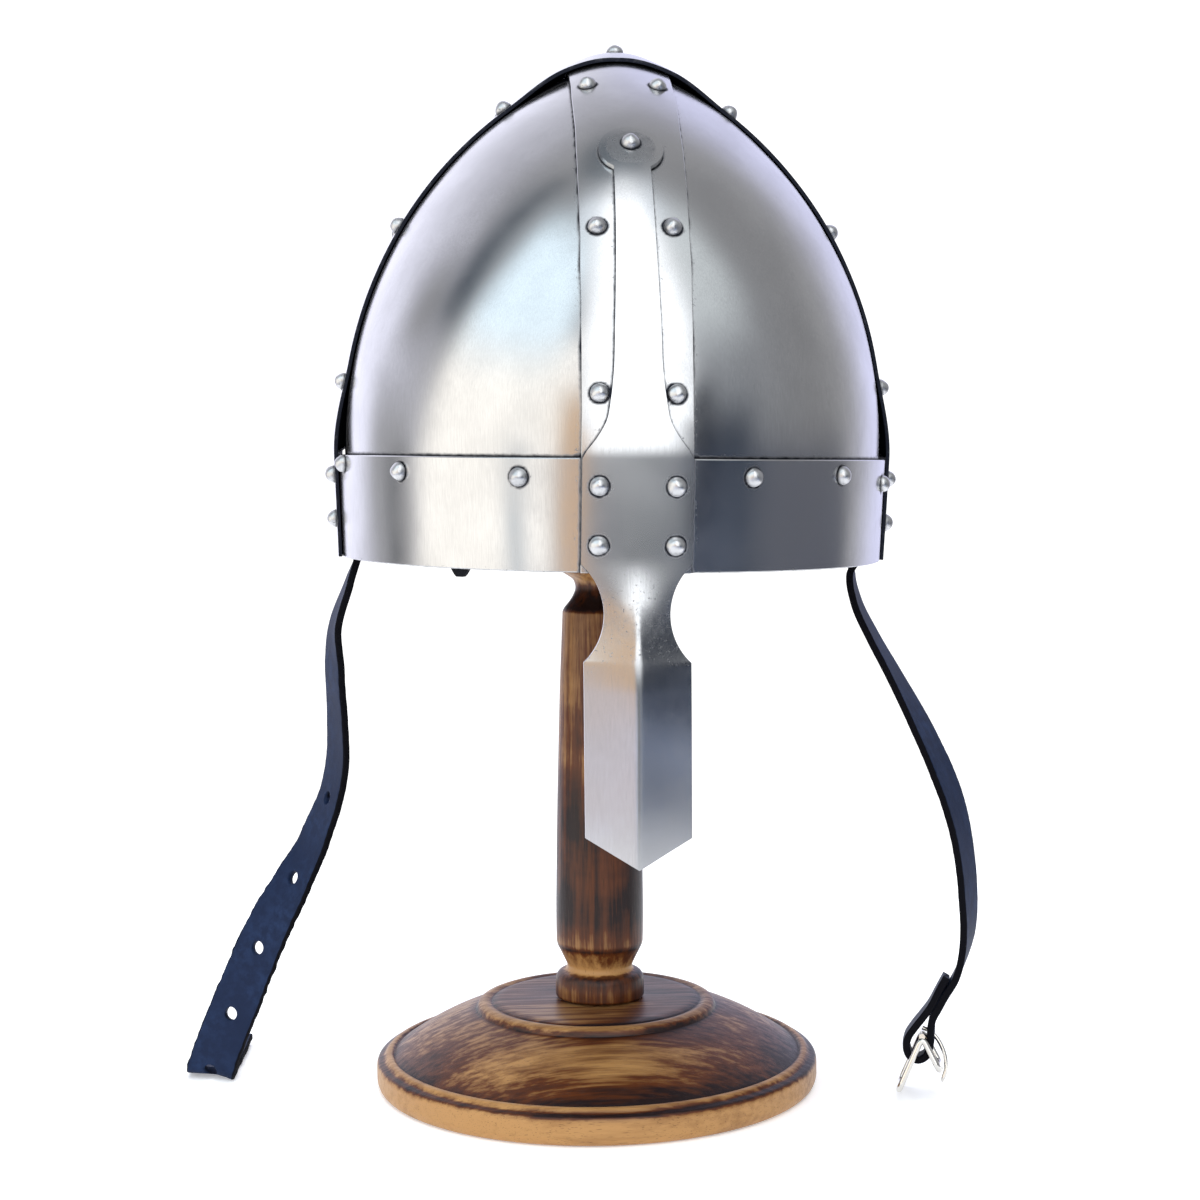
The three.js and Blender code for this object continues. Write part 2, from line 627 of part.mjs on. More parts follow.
// Buckle: a bent wire frame with a middle bar, soldered into one, and a loose prong on the bar
const halfWidth = BUCKLE_WIDTH / 2;
const frameCorners = [
  inBuckle(0, -halfWidth, 0),
  inBuckle(-LONG_LEG_REACH, -halfWidth, -LONG_LEG_DROP),
  inBuckle(-LONG_LEG_REACH, halfWidth, -LONG_LEG_DROP),
  inBuckle(0, halfWidth, 0),
  inBuckle(SHORT_LEG_REACH, halfWidth, -SHORT_LEG_DROP),
  inBuckle(SHORT_LEG_REACH, -halfWidth, -SHORT_LEG_DROP),
];
const CORNER_TRIM = WIRE * 0.5;
const framePoints = frameCorners.flatMap((corner, i) => {
  const before = frameCorners.at(i - 1).clone().sub(corner).setLength(CORNER_TRIM).add(corner);
  const after = frameCorners[(i + 1) % 6].clone().sub(corner).setLength(CORNER_TRIM).add(corner);
  return [before, after];
});
const framePath = new THREE.CatmullRomCurve3(framePoints, true, 'catmullrom', 0.2);
const frameRing = new THREE.TubeGeometry(framePath, 44, WIRE / 2, 5, true);
const bar = new THREE.CylinderGeometry(WIRE / 2, WIRE / 2, BUCKLE_WIDTH + WIRE / 2, 6).applyMatrix4(buckleFrame);
addPiece('buckle_frame', fuse(frameRing, [bar]), nickel);

const prongClear = (WIRE + PRONG_WIRE) / 2 + CLEARANCE;
const prongPoints = [
  inBuckle(0, 0, prongClear),
  inBuckle(prongClear * 0.8, 0, prongClear * 0.7),
  inBuckle(SHORT_LEG_REACH + prongClear * 1.08, 0, -SHORT_LEG_DROP + prongClear * 0.7),
  inBuckle(SHORT_LEG_REACH + prongClear * 1.1, 0, -SHORT_LEG_DROP),
  inBuckle(SHORT_LEG_REACH + prongClear * 0.4, 0, -SHORT_LEG_DROP - PRONG_DROP),
];
const prongSection = new THREE.Shape().absarc(0, 0, PRONG_WIRE / 2, 0, 2 * Math.PI);
const prong = new THREE.ExtrudeGeometry(prongSection, {
  steps: 12,
  curveSegments: 3,
  extrudePath: new THREE.CatmullRomCurve3(prongPoints),
});
addPiece('buckle_prong', welded(prong), nickel);

// The tip of a leather lining tab, against the inside of the brow
const tabHalf = TAB_WIDTH / 2 / FORM_HALF_WIDTH;
const tabTurn = THREE.MathUtils.degToRad(TAB_ANGLE);
const tabRows = [-TAB_DROP, -TAB_DROP * 0.4, STRAP_TUCK / 2, STRAP_TUCK];
const tabPoint = (turn, s, side) => {
  const tip = s < -TAB_DROP / 2 ? 0.6 : 1;
  const inward = PLATE_THICKNESS + CLEARANCE * 2 + TAB_THICKNESS * side;
  return formPoint(s, tabTurn + turn * tabHalf * tip, -inward);
};
addPiece('lining_tab', sheet([-1, 0, 1], tabRows, tabPoint), leather, helmet);

// Stand: a turned base, a turned post and a plain head under the crown
function turned(profile, sides) {
  const lathe = new THREE.LatheGeometry(profile.map(([r, z]) => new THREE.Vector2(r, z)), sides);
  return welded(lathe.rotateX(Math.PI / 2));
}

const baseProfile = [
  [0, 0], [0.965, 0], [0.99, 0.035], [1, 0.1], [1, 0.31], [0.985, 0.36], [0.955, 0.385], [0.935, 0.355],
  [0.915, 0.40], [0.86, 0.50], [0.77, 0.645], [0.66, 0.785], [0.56, 0.885], [0.543, 0.90],
  [0.532, 0.965], [0.505, 0.99], [0.478, 0.97], [0.468, 0.985], [0.44, 1], [0, 1],
].map(([r, z]) => [r * BASE_RADIUS, z * BASE_HEIGHT]);
addPiece('stand_base', turned(baseProfile, 30), wood);

// The head follows the dome's inside with a clearance, and ends in a flat underside
const headInset = -(PLATE_THICKNESS + CLEARANCE);
const headArch = [...dome, ...crown].map((s) => {
  const { x, z, angle } = arch(s);
  return [x + headInset * Math.cos(angle), z + headInset * Math.sin(angle)];
}).filter(([x]) => x < HEAD_RADIUS * 0.97 && x > 0.5);
const headTop = arch(CREST).z + headInset;
const headFloor = headTop - HEAD_HEIGHT;
const headShoulder = headArch[0][1] - (HEAD_RADIUS - headArch[0][0]) * 0.7;
const headProfile = [
  [0, headFloor], [HEAD_RADIUS * 0.9, headFloor], [HEAD_RADIUS, headFloor + HEAD_RADIUS * 0.12],
  [HEAD_RADIUS, headShoulder], ...headArch, [0, headTop],
];
const head = turned(headProfile, 16);
head.scale(1, STRETCH, 1);
addPiece('stand_head', head, wood, helmet);

// The post reaches up to the head's underside
const POST_TOP_SHARE = 0.69;
const postFoot = new THREE.Vector3(POST_OFFSET, 0, BASE_HEIGHT + CLEARANCE);
const postAxis = new THREE.Vector3(Math.sin(POST_LEAN), 0, Math.cos(POST_LEAN));
const helmetAxis = new THREE.Vector3(Math.sin(HELMET_LEAN), 0, Math.cos(HELMET_LEAN));
const headUnder = helmet.localToWorld(new THREE.Vector3(0, 0, headFloor));
const seatGap = CLEARANCE + POST_RADIUS * POST_TOP_SHARE * Math.sin(Math.abs(HELMET_LEAN - POST_LEAN));
const postLength = headUnder.sub(postFoot).dot(helmetAxis) / postAxis.dot(helmetAxis) - seatGap;
const postSeat = postFoot.addScaledVector(postAxis, POST_RADIUS * Math.sin(POST_LEAN));

// Columns: radius as a share of the post's, height as a share of the brim's height over the base
const postProfile = [
  [1.00, 0], [1.01, 0.02], [1.00, 0.05], [0.95, 0.058], [0.78, 0.062], [0.73, 0.074], [0.80, 0.084],
  [0.94, 0.112], [0.99, 0.125], [1.00, 0.20], [0.97, 0.41], [0.90, 0.70], [0.825, 0.875], [0.79, 0.882],
  [0.62, 0.902], [0.52, 0.925], [0.58, 0.945], [0.86, 0.960], [1.02, 0.985], [1.04, 1.01],
  [0.90, 1.045], [POST_TOP_SHARE, 1.07],
].map(([r, z]) => [r * POST_RADIUS, z * (BRIM_HEIGHT - BASE_HEIGHT)]);
const postTop = postLength - POST_RADIUS * Math.sin(POST_LEAN);
const post = turned([[0, 0], ...postProfile, [POST_RADIUS * POST_TOP_SHARE, postTop], [0, postTop]], 16);
const postMesh = addPiece('stand_post', post, darkWood);
postMesh.position.copy(postSeat);
postMesh.rotation.y = POST_LEAN;

export default object;
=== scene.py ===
"""Fine surfaces, finishes, light and camera for a norse iron helmet on its turned wooden stand."""
import math

import bpy
import numpy as np
from mathutils import Matrix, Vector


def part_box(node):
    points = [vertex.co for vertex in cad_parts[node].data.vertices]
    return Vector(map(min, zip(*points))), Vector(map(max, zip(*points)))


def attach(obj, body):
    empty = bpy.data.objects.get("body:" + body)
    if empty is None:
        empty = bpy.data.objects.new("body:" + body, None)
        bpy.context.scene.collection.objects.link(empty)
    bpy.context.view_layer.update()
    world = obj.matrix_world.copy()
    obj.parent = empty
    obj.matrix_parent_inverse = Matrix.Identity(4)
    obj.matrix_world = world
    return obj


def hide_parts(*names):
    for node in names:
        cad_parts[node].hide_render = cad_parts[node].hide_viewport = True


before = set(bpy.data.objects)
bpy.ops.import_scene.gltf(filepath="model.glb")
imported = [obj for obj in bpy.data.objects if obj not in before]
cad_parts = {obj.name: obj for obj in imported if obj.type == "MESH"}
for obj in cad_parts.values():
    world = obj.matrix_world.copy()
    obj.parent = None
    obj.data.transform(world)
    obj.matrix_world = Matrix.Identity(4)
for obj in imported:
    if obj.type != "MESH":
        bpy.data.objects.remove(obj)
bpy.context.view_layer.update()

bl_info = {
    "name": "Norse helmet dresser",
    "version": (1, 0, 0),
    "blender": (4, 5, 0),
    "location": "View3D > Sidebar > Helmet",
    "description": "Fine surfaces and finishes for a riveted helmet on a turned stand",
    "category": "Object",
}

MM = 0.001
FRONT, LEFT = -math.pi / 2, math.pi

# How far the steps over other pieces run, how the helmet's parts lap, and how much a band stays flat
BAND_STEP_RUN = 36 * MM
CROSSING_SHARE = 0.56
CROSSING_RUN = 26 * MM
CROSSING_GAP = 0.7 * MM
PLATE_OVERLAP = 30 * MM
APEX_HOLE = 3 * MM
FLAT_SHARE = 0.2
RIVET_INSET = 6 * MM
BROW_PROUD = 1.1 * MM
STRAP_TUCK = 28 * MM
LINING_TURN = math.radians(-127)

# Wavelengths of the metal's unevenness, and of the rivets' dents with their depth as a share
PLATE_WAVES, BROW_WAVES, BAND_WAVES = 60 * MM, 45 * MM, 50 * MM
BAND_EDGE_WAVES, NASAL_WAVES = 22 * MM, 34 * MM
DENT_WAVES, DENT_DEPTH = 4.5 * MM, 0.05

# How far the painted shade and the patina reach: painted shadow from the seams of the plates along x, y
# and z, patina with painted shade round a rivet, painted shadow beside a band, painted shade up from the
# brim, a painted dark reflection in from the band's edge and painted shadow out from the nasal guard
SEAM_PAINTED_SHADOW = 0.9 * MM, 4.0 * MM, 1.1 * MM
RIVET_PATINA_AND_SHADE, BESIDE_PAINTED_SHADOW, BRIM_PAINTED_SHADE = 1.2 * MM, 1.4 * MM, 0.9 * MM
EDGE_PAINTED_DARK_REFLECTION, NASAL_PAINTED_SHADOW = 0.5 * MM, 1.3 * MM

# Brow rivets of the front: degrees from the middle of the front, and height as a share of the brow
BROW_RIVETS = (("left_1", -75.4, 0.92), ("left_2", -49.5, 0.86), ("left_3", -22.0, 0.83),
               ("right_4", 22.5, 0.84), ("right_5", 46.0, 0.86), ("right_6", 69.4, 0.77))

# Pairs of rivets on the bands: distance from the brim as a share of the way to the apex, or in metres
CROSS_RIVETS = (0.061, 0.133, 0.281, 0.545, 0.797)
BROW_PAIRS = (0.034, 0.128)
FRONT_RIVETS = (60.3 * MM, 121.1 * MM, 204.2 * MM)

# Nasal rivets: place as a share of the head's, and side
NASAL_RIVETS = ((0.062, -1), (0.062, 1), (0.19, -1), (0.19, 1), (1.014, 0))

# Nasal flare: share of the way up the neck, and share of the widening from neck to plate
NASAL_FLARE = ((0.00, 1.00), (0.02, 0.90), (0.055, 0.66), (0.11, 0.37), (0.18, 0.24), (0.26, 0.16),
               (0.42, 0.11), (0.60, 0.06), (0.80, 0.02), (1.00, 0.00))

# Hanging straps: fall as a share of the brim's height, sideways and back as shares of the brow's half
# width, and the turn of the strap's width in degrees
LEFT_STRAP = (
    (0.040, 0.970, -0.015, 5), (0.130, 1.031, 0.005, 10), (0.198, 1.036, 0.019, 19),
    (0.301, 1.030, 0.035, 21), (0.385, 1.035, 0.045, 22), (0.451, 1.062, 0.055, 25),
    (0.506, 1.106, 0.065, 31), (0.556, 1.151, 0.075, 36), (0.619, 1.220, 0.085, 48),
    (0.691, 1.301, 0.095, 57), (0.765, 1.370, 0.105, 64), (0.840, 1.436, 0.115, 68),
    (0.911, 1.495, 0.125, 70), (0.958, 1.532, 0.134, 68), (0.981, 1.546, 0.150, 68),
    (0.988, 1.548, 0.190, 70), (0.989, 1.539, 0.400, 74), (0.985, 1.526, 0.630, 76),
)
RIGHT_STRAP = (
    (0.040, 0.915, -0.027, 14), (0.092, 0.932, -0.038, 16), (0.160, 0.989, -0.060, 19),
    (0.236, 1.068, -0.086, 23), (0.326, 1.157, -0.124, 30), (0.402, 1.221, -0.159, 33),
    (0.478, 1.269, -0.196, 32), (0.570, 1.299, -0.238, 29), (0.639, 1.304, -0.267, 27),
    (0.707, 1.295, -0.292, 24), (0.752, 1.271, -0.306, 19),
)
STRAP_HOLES = (0.401, 0.539, 0.634, 0.719, 0.840)

# The strap's loop round the buckle's bar: to the right and up from the bar, as shares of its radius
STRAP_LOOP = (
    (2.76, 4.71), (1.93, 3.29), (1.38, 2.22), (0.93, 1.33), (0.80, 0.62), (0.76, -0.27),
    (0.62, -1.16), (0.36, -1.69), (-0.36, -2.04), (-1.07, -1.69), (-1.33, -0.98), (-1.20, -0.18),
    (-0.71, 0.62), (0.04, 1.62), (0.73, 2.58), (1.40, 3.84), (2.07, 5.02),
)

# The buckle's bar, sideways and back as shares of the brow's half width. Its wire's corners: to the right
# and up in millimetres, and along the bar as a share of its half. Its prong: to the right and up as shares
# of its clearance from the bar, counted from the bar, and from the third point on from the back wire. The
# slot in the strap's loop: its width, and its height, its place and its two ends as shares of the loop
BUCKLE_PLACE = (1.1174, -0.2956)
BACK_WIRE = (6.6, -12.5)
BUCKLE_RING = ((0, -1, 0), (-8.8, -1, -20.5), (-8.8, 1, -20.5), (0, 1, 0),
               (BACK_WIRE[0], 1, BACK_WIRE[1]), (BACK_WIRE[0], -1, BACK_WIRE[1]))
PRONG_PATH = ((0, 0, 1), (0.8, 0, 0.7), (1.08, 0, 0.7), (1.1, 0, 0), (0.4, 0, 0))
PRONG_DROP = 5.8 * MM
SLOT_WIDTH, SLOT_HEIGHT, SLOT_PLACE, SLOT_ENDS = 3.4 * MM, 2.1, -0.28, (0.3, 1.8)

# Turned profiles: radius and height as shares of the stand's, how far the corner is eased in
# millimetres, and burn, from 0 for pale wood to 1 for burnt dark. The side of each darkened as painted
# shade, away from the light: its turn round the axis, and by how much
BASE_PROFILE = (
    (0.965, 0.000, 1.0, 0.3), (0.990, 0.030, 1.0, 0.15), (1.000, 0.100, 1.0, 0.08), (1.000, 0.290, 1.2, 0.08),
    (0.992, 0.335, 0.8, 0.95), (0.975, 0.352, 0.5, 1.0), (0.966, 0.362, 0.4, 0.6), (0.952, 0.405, 1.0, 0.14),
    (0.932, 0.412, 1.0, 0.20), (0.921, 0.385, 0.3, 1.0), (0.912, 0.405, 0.4, 0.95), (0.860, 0.500, 8.0, 0.68),
    (0.770, 0.645, 8.0, 0.47), (0.660, 0.785, 8.0, 0.43), (0.560, 0.880, 1.5, 0.62), (0.545, 0.893, 0.4, 1.0),
    (0.540, 0.935, 0.6, 0.75), (0.532, 0.968, 0.8, 0.35), (0.505, 0.995, 1.5, 0.2), (0.482, 0.975, 0.8, 0.4),
    (0.474, 0.970, 0.3, 1.0), (0.466, 0.985, 0.4, 0.9), (0.440, 1.000, 2.0, 0.65), (0.050, 1.000, 0.4, 0.6),
)
POST_PROFILE = (
    (0.960, 0.000, 0.4, 0.9), (1.010, 0.004, 0.6, 0.8), (1.015, 0.025, 1.0, 0.75), (1.000, 0.048, 1.2, 1.0),
    (0.930, 0.058, 1.0, 1.0), (0.800, 0.061, 0.6, 0.6), (0.760, 0.064, 0.6, 0.0), (0.740, 0.072, 0.8, 0.0),
    (0.770, 0.080, 1.0, 0.3), (0.930, 0.112, 1.2, 0.5), (0.962, 0.118, 0.3, 0.95), (0.990, 0.128, 0.8, 0.4),
    (1.000, 0.200, 9.0, 0.98), (0.970, 0.410, 9.0, 0.80), (0.900, 0.700, 9.0, 0.42), (0.832, 0.872, 0.4, 0.3),
    (0.800, 0.880, 0.8, 1.0), (0.620, 0.902, 2.0, 1.0), (0.520, 0.925, 1.8, 0.95), (0.580, 0.945, 1.5, 0.4),
    (0.860, 0.962, 2.0, 0.5), (1.020, 0.985, 1.0, 0.7), (1.040, 1.010, 1.0, 0.7), (0.900, 1.045, 1.5, 0.8),
    (0.690, 1.070, 1.0, 0.6), (0.690, 1.832, 0.4, 0.6),
)
BASE_PAINTED_SHADE, POST_PAINTED_SHADE = (math.radians(75), 0.14), (0.0, 0.16)


# Settings

def length(name, millimetres, description):
    """A length in metres whose default is given in millimetres."""
    return bpy.props.FloatProperty(name=name, description=description, default=millimetres * MM,
                                   min=0.0, unit="LENGTH", precision=4)


def colour(name, rgb, description):
    """A colour, in linear light."""
    return bpy.props.FloatVectorProperty(name=name, description=description, default=rgb, size=3,
                                         min=0.0, max=1.0, subtype="COLOR")


def angle(name, degrees, description):
    """An angle in radians whose default is given in degrees."""
    return bpy.props.FloatProperty(name=name, description=description, default=math.radians(degrees),
                                   unit="ROTATION")


class HelmetSizes(bpy.types.PropertyGroup):
    """Sizes of the helmet's metal, and how it sits on the stand."""
    brow_width: length("Brow width", 209.8, "Outer width of the brow band")
    brow_length: length("Brow length", 240.8, "Outer length of the brow band, front to back")
    brow_height: length("Brow height", 38.8, "Height of the brow band")
    brow_taper: length("Brow taper", 1.7, "How far the brow band leans in towards the brim")
    side_radius: length("Side radius", 156, "Radius of the arch's long side arc")
    crown_radius: length("Crown radius", 27.7, "Radius of the arch's crown arc")
    sheet: length("Sheet", 1.5, "Thickness of plates and bands")
    clearance: length("Clearance", 0.3, "Gap between pieces that lie on each other")
    band_width: length("Band width", 38, "Width of the bands over the dome")
    nasal_sheet: length("Nasal sheet", 1.8, "Thickness of the nasal guard")
    nasal_head: length("Nasal head", 11.4, "Radius of the nasal guard's round head")
    nasal_head_place: length("Nasal head place", 155.8, "Distance of the round head from the brim")
    nasal_neck: length("Nasal neck", 12.8, "Width of the nasal guard's neck")
    nasal_plate: length("Nasal plate", 37.6, "Width of the nasal guard on the brow")
    nasal_guard: length("Nasal guard", 36.6, "Width of the guard over the nose")
    nasal_drop: length("Nasal drop", 90.4, "Length of the guard below the brim")
    nasal_tip: length("Nasal tip", 10.4, "Height of the guard's pointed end")
    nasal_ridge: length("Nasal ridge", 4.6, "Height of the guard's middle fold")
    notch_start: length("Notch start", 3.2, "Top of the side notch above the brim's middle")
    notch_length: length("Notch length", 33.2, "Length of the side notch")
    notch_depth: length("Notch depth", 7.3, "Depth of the side notch")
    rivet_radius: length("Rivet radius", 3.3, "Radius of a rivet's head")
    rivet_height: length("Rivet height", 3.4, "Height of a rivet's head")
    unevenness: length("Unevenness", 0.22, "How far the sheet metal wanders from its true form")
    offset_x: length("Offset to the right", 7.45, "How far the helmet sits to the right of the stand")
    offset_y: bpy.props.FloatProperty(name="Offset to the back", default=-2.76 * MM, unit="LENGTH",
                                      description="How far the helmet sits behind the stand's middle")
    brim_height: length("Brim height", 209.9, "Height of the brim over the floor")
    lean: angle("Lean", 1.29, "How far the helmet leans to the right")


class StrapSizes(bpy.types.PropertyGroup):
    """Sizes of the chin straps, the lining tab and the buckle."""
    width: length("Width", 20, "Width of the chin straps")
    thickness: length("Thickness", 2.8, "Thickness of the chin straps")
    hole: length("Hole", 5.5, "Diameter of the punched holes")
    rough: length("Rough edge", 0.22, "How ragged the cut edges are")
    tab_width: length("Tab width", 9, "Width of the lining tab")
    tab_drop: length("Tab drop", 3.4, "How far the lining tab shows under the brim")
    wire: length("Wire", 2.4, "Diameter of the buckle's wire")
    prong: length("Prong", 1.6, "Diameter of the prong's wire")
    buckle_width: length("Buckle width", 24, "Inner width of the buckle")
    buckle_height: length("Buckle height", 23.6, "Height of the buckle's bar over the floor")
    loop: length("Loop", 4.5, "Radius of the strap's loop round the bar")
    turn: angle("Turn", 13, "How far the buckle's bar turns from the line fore and aft")
    tilt: angle("Tilt", 9, "How far the buckle's bar dips towards its far end")


class StandSizes(bpy.types.PropertyGroup):
    """Sizes of the turned stand."""
    base_radius: length("Base radius", 87.6, "Radius of the base")
    base_height: length("Base height", 33.4, "Height of the base")
    post_radius: length("Post radius", 17.4, "Radius of the post")
    post_offset: length("Post offset", 1.6, "How far the post stands to the right of the base's middle")
    post_lean: angle("Post lean", 0.6, "How far the post leans to the right")
    head_radius: length("Head radius", 30, "Radius of the block under the crown")
    head_height: length("Head height", 40, "Height of the block under the crown")


class Finishes(bpy.types.PropertyGroup):
    """Colours of the steel, leather and wood."""
    steel: colour("Steel", (0.62, 0.625, 0.635), "Polished face of the steel")
    steel_dull: colour("Dull steel", (0.42, 0.42, 0.425), "Steel in its duller patches")
    # This colour also paints the shade in seams, gaps, under edges, beside the bands and round the nasal
    # guard.
    patina_and_shade: colour("Patina", (0.016, 0.018, 0.026), "Dark patina in the corners and round the rivets")
    buckle: colour("Buckle", (0.66, 0.64, 0.60), "Wire of the buckle")
    leather: colour("Leather", (0.005, 0.013, 0.042), "Dyed face of the straps")
    leather_worn: colour("Worn leather", (0.012, 0.028, 0.080), "Lighter mottling of the straps")
    leather_edge: colour("Cut edge", (0.002, 0.002, 0.004), "Cut edges and flesh side of the straps")
    wood_pale: colour("Pale wood", (0.44, 0.232, 0.080), "Bare sides and beads of the stand")
    wood_brown: colour("Brown wood", (0.100, 0.025, 0.004), "Stained faces of the stand")
    wood_burnt: colour("Burnt wood", (0.010, 0.002, 0.002), "Burnt rings of the stand")


class StudioSettings(bpy.types.PropertyGroup):
    """Camera and light."""
    distance: length("Distance", 850, "Distance of the camera from the stand's axis")
    height: length("Height", 252.74, "Height of the camera")
    azimuth: angle("Azimuth", -3.76, "How far the camera stands to the left of the front")
    pitch: angle("Pitch", 4.066, "How far the camera looks down")
    roll: angle("Roll", 0.743, "How far the camera is rolled")
    lens: bpy.props.FloatProperty(name="Lens", default=64.75, description="Focal length on a 36 mm sensor")
    shift: bpy.props.FloatProperty(name="Shift", default=0.0077, description="Sideways shift of the frame")
    window: bpy.props.FloatProperty(name="Window", default=1.0, min=0.0,
                                    description="Strength of the large soft window in front")
    top_light: bpy.props.FloatProperty(name="Top light", default=14.0, min=0.0, unit="POWER",
                                       description="Power of the soft light above, for the floor")


# Numpy helpers

def unit(vectors):
    """Each vector divided by its length."""
    return vectors / np.linalg.norm(vectors, axis=-1, keepdims=True)


def smoothstep(value, begin, end):
    """0 below begin and 1 above end, with the cubic 3t² - 2t³ between them."""
    t = np.clip((value - begin) / (end - begin), 0, 1)
    return t * t * (3 - 2 * t)


def fade_out(value, begin, run):
    """1 up to begin, then down to 0 over the run."""
    return 1 - smoothstep(value, begin, begin + run)


def through(knots, values, at):
    """A cubic through the values at their knots. The slope at a knot is that of the parabola through it
    and its two neighbours, and of the straight line at an end."""
    knots, values = np.asarray(knots, float), np.asarray(values, float)
    flat = values.reshape(len(knots), -1)
    gaps = np.diff(knots)[:, None]
    rises = np.diff(flat, axis=0) / gaps
    inner = (rises[:-1] * gaps[1:] + rises[1:] * gaps[:-1]) / (gaps[:-1] + gaps[1:])
    slopes = np.concatenate([rises[:1], inner, rises[-1:]])
    at = np.asarray(at, float)
    low = np.clip(np.searchsorted(knots, at, side="right") - 1, 0, len(knots) - 2)
    gap = gaps[low]
    t = (at[:, None] - knots[low][:, None]) / gap
    start, end = flat[low], flat[low + 1]
    curve = ((1 + 2 * t) * (1 - t) ** 2 * start + t * (1 - t) ** 2 * gap * slopes[low]
             + t * t * (3 - 2 * t) * end + t * t * (t - 1) * gap * slopes[low + 1])
    return curve.reshape(len(at), *values.shape[1:])


def unevenness(points, wavelength, amount, seed):
    """A smooth random offset for each point: the mean of sine waves that run in seeded directions, with
    lengths from 0.6 to 1.6 times the wavelength, scaled to about the amount."""
    waves = 14
    random = np.random.default_rng(seed)
    numbers = unit(random.normal(size=(waves, 3))) * 2 * np.pi
    numbers /= wavelength * random.uniform(0.6, 1.6, (waves, 1))
    phases = random.uniform(0, 2 * np.pi, waves)
    return amount * np.sin(points @ numbers.T + phases).mean(-1) * math.sqrt(waves / 2)


def eased(corners, trims, steps=7):
    """A path through corners, each replaced by a parabola that leaves its two sides at the trim, or at
    0.45 of a shorter side."""
    corners, trims = np.asarray(corners, float), np.asarray(trims, float)[:, None]
    before, after = np.roll(corners, 1, 0) - corners, np.roll(corners, -1, 0) - corners
    sizes = [np.linalg.norm(side, axis=1, keepdims=True) for side in (before, after)]
    start = corners + before / sizes[0] * np.minimum(trims, 0.45 * sizes[0])
    end = corners + after / sizes[1] * np.minimum(trims, 0.45 * sizes[1])
    t = np.linspace(0, 1, steps)[None, :, None]
    bend = (1 - t) ** 2 * start[:, None] + 2 * t * (1 - t) * corners[:, None] + t * t * end[:, None]
    return bend.reshape(-1, corners.shape[1])


def grid_quads(index, flip=False):
    """Quads between neighbours in a two-dimensional array of point numbers."""
    quads = np.stack([index[:-1, :-1], index[1:, :-1], index[1:, 1:], index[:-1, 1:]], -1).reshape(-1, 4)
    return quads[:, ::-1] if flip else quads


def numbered(rows, columns, start=0):
    """Point numbers of a grid, row by row."""
    return start + np.arange(rows * columns).reshape(rows, columns)


# Meshes

def make_piece(name, points, faces, material, sharp=32, bevel=0.0):
    """A mesh object of the points and the lists of like-sided faces, smooth up to the sharp angle, with
    its faces turned outward and, where bevel is given, a narrow rounded edge."""
    mesh = bpy.data.meshes.new(name)
    sides = np.concatenate([np.full(len(group), group.shape[1]) for group in faces])
    corners = np.concatenate([group.ravel() for group in faces]).astype(np.int32)
    starts = np.concatenate([[0], np.cumsum(sides)[:-1]]).astype(np.int32)
    mesh.vertices.add(len(points))
    mesh.vertices.foreach_set("co", points.astype(np.float32).ravel())
    mesh.loops.add(len(corners))
    mesh.loops.foreach_set("vertex_index", corners)
    mesh.polygons.add(len(sides))
    mesh.polygons.foreach_set("loop_start", starts)
    mesh.update(calc_edges=True)
    mesh.calc_loop_triangles()
    triangles = np.empty(len(mesh.loop_triangles) * 3, np.int32)
    mesh.loop_triangles.foreach_get("vertices", triangles)
    a, b, c = points[triangles.reshape(-1, 3)].transpose(1, 0, 2)
    if np.einsum("ij,ij->", a, np.cross(b, c)) < 0:
        mesh.flip_normals()
    mesh.polygons.foreach_set("use_smooth", np.ones(len(sides), bool))
    mesh.set_sharp_from_angle(angle=math.radians(sharp))
    mesh.materials.append(material)
    piece = bpy.data.objects.new(name, mesh)
    bpy.context.scene.collection.objects.link(piece)
    if bevel:
        edge = piece.modifiers.new("rounded_edge", "BEVEL")
        edge.width, edge.segments, edge.limit_method = bevel, 2, "ANGLE"
        edge.angle_limit = math.radians(50)
    return piece


def point_values(piece, name, values):
    """A named number on each point of the piece, for its material to read."""
    attribute = piece.data.attributes.new(name, "FLOAT", "POINT")
    attribute.data.foreach_set("value", values.astype(np.float32).ravel())


def dress(piece, slot, *nodes):
    """The piece rides on the only body and stands for the nodes, whose parts it hides. The slot is not used.
    """
    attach(piece, "root")
    if nodes:
        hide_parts(*nodes)


def sheet_piece(name, outer, inner, material, ring=False, **settings):
    """A closed sheet between two grids of points, one on its outer and one on its inner face. A ring's
    last row meets its first."""
    rows, columns = outer.shape[:2]
    front = numbered(rows, columns)
    back = numbered(rows, columns, rows * columns)
    if ring:
        front, back = np.concatenate([front, front[:1]]), np.concatenate([back, back[:1]])
    faces = [grid_quads(front), grid_quads(back, flip=True),
             grid_quads(np.stack([front[:, 0], back[:, 0]])),
             grid_quads(np.stack([front[:, -1], back[:, -1]]), flip=True)]
    if not ring:
        faces += [grid_quads(np.stack([front[0], back[0]]), flip=True),
                  grid_quads(np.stack([front[-1], back[-1]]))]
    points = np.concatenate([outer.reshape(-1, 3), inner.reshape(-1, 3)])
    return make_piece(name, points, faces, material, **settings)


def swept(name, sections, material, closed=False, **settings):
    """A closed body from sections, an array of loops of points, joined in order. Its ends are capped,
    unless the last section meets the first."""
    rows, columns = sections.shape[:2]
    index = numbered(rows, columns)
    caps = [] if closed else [index[:1, ::-1], index[-1:]]
    if closed:
        index = np.concatenate([index, index[:1]])
    faces = [grid_quads(np.concatenate([index, index[:, :1]], 1), flip=True)] + caps
    return make_piece(name, sections.reshape(-1, 3), faces, material, **settings)


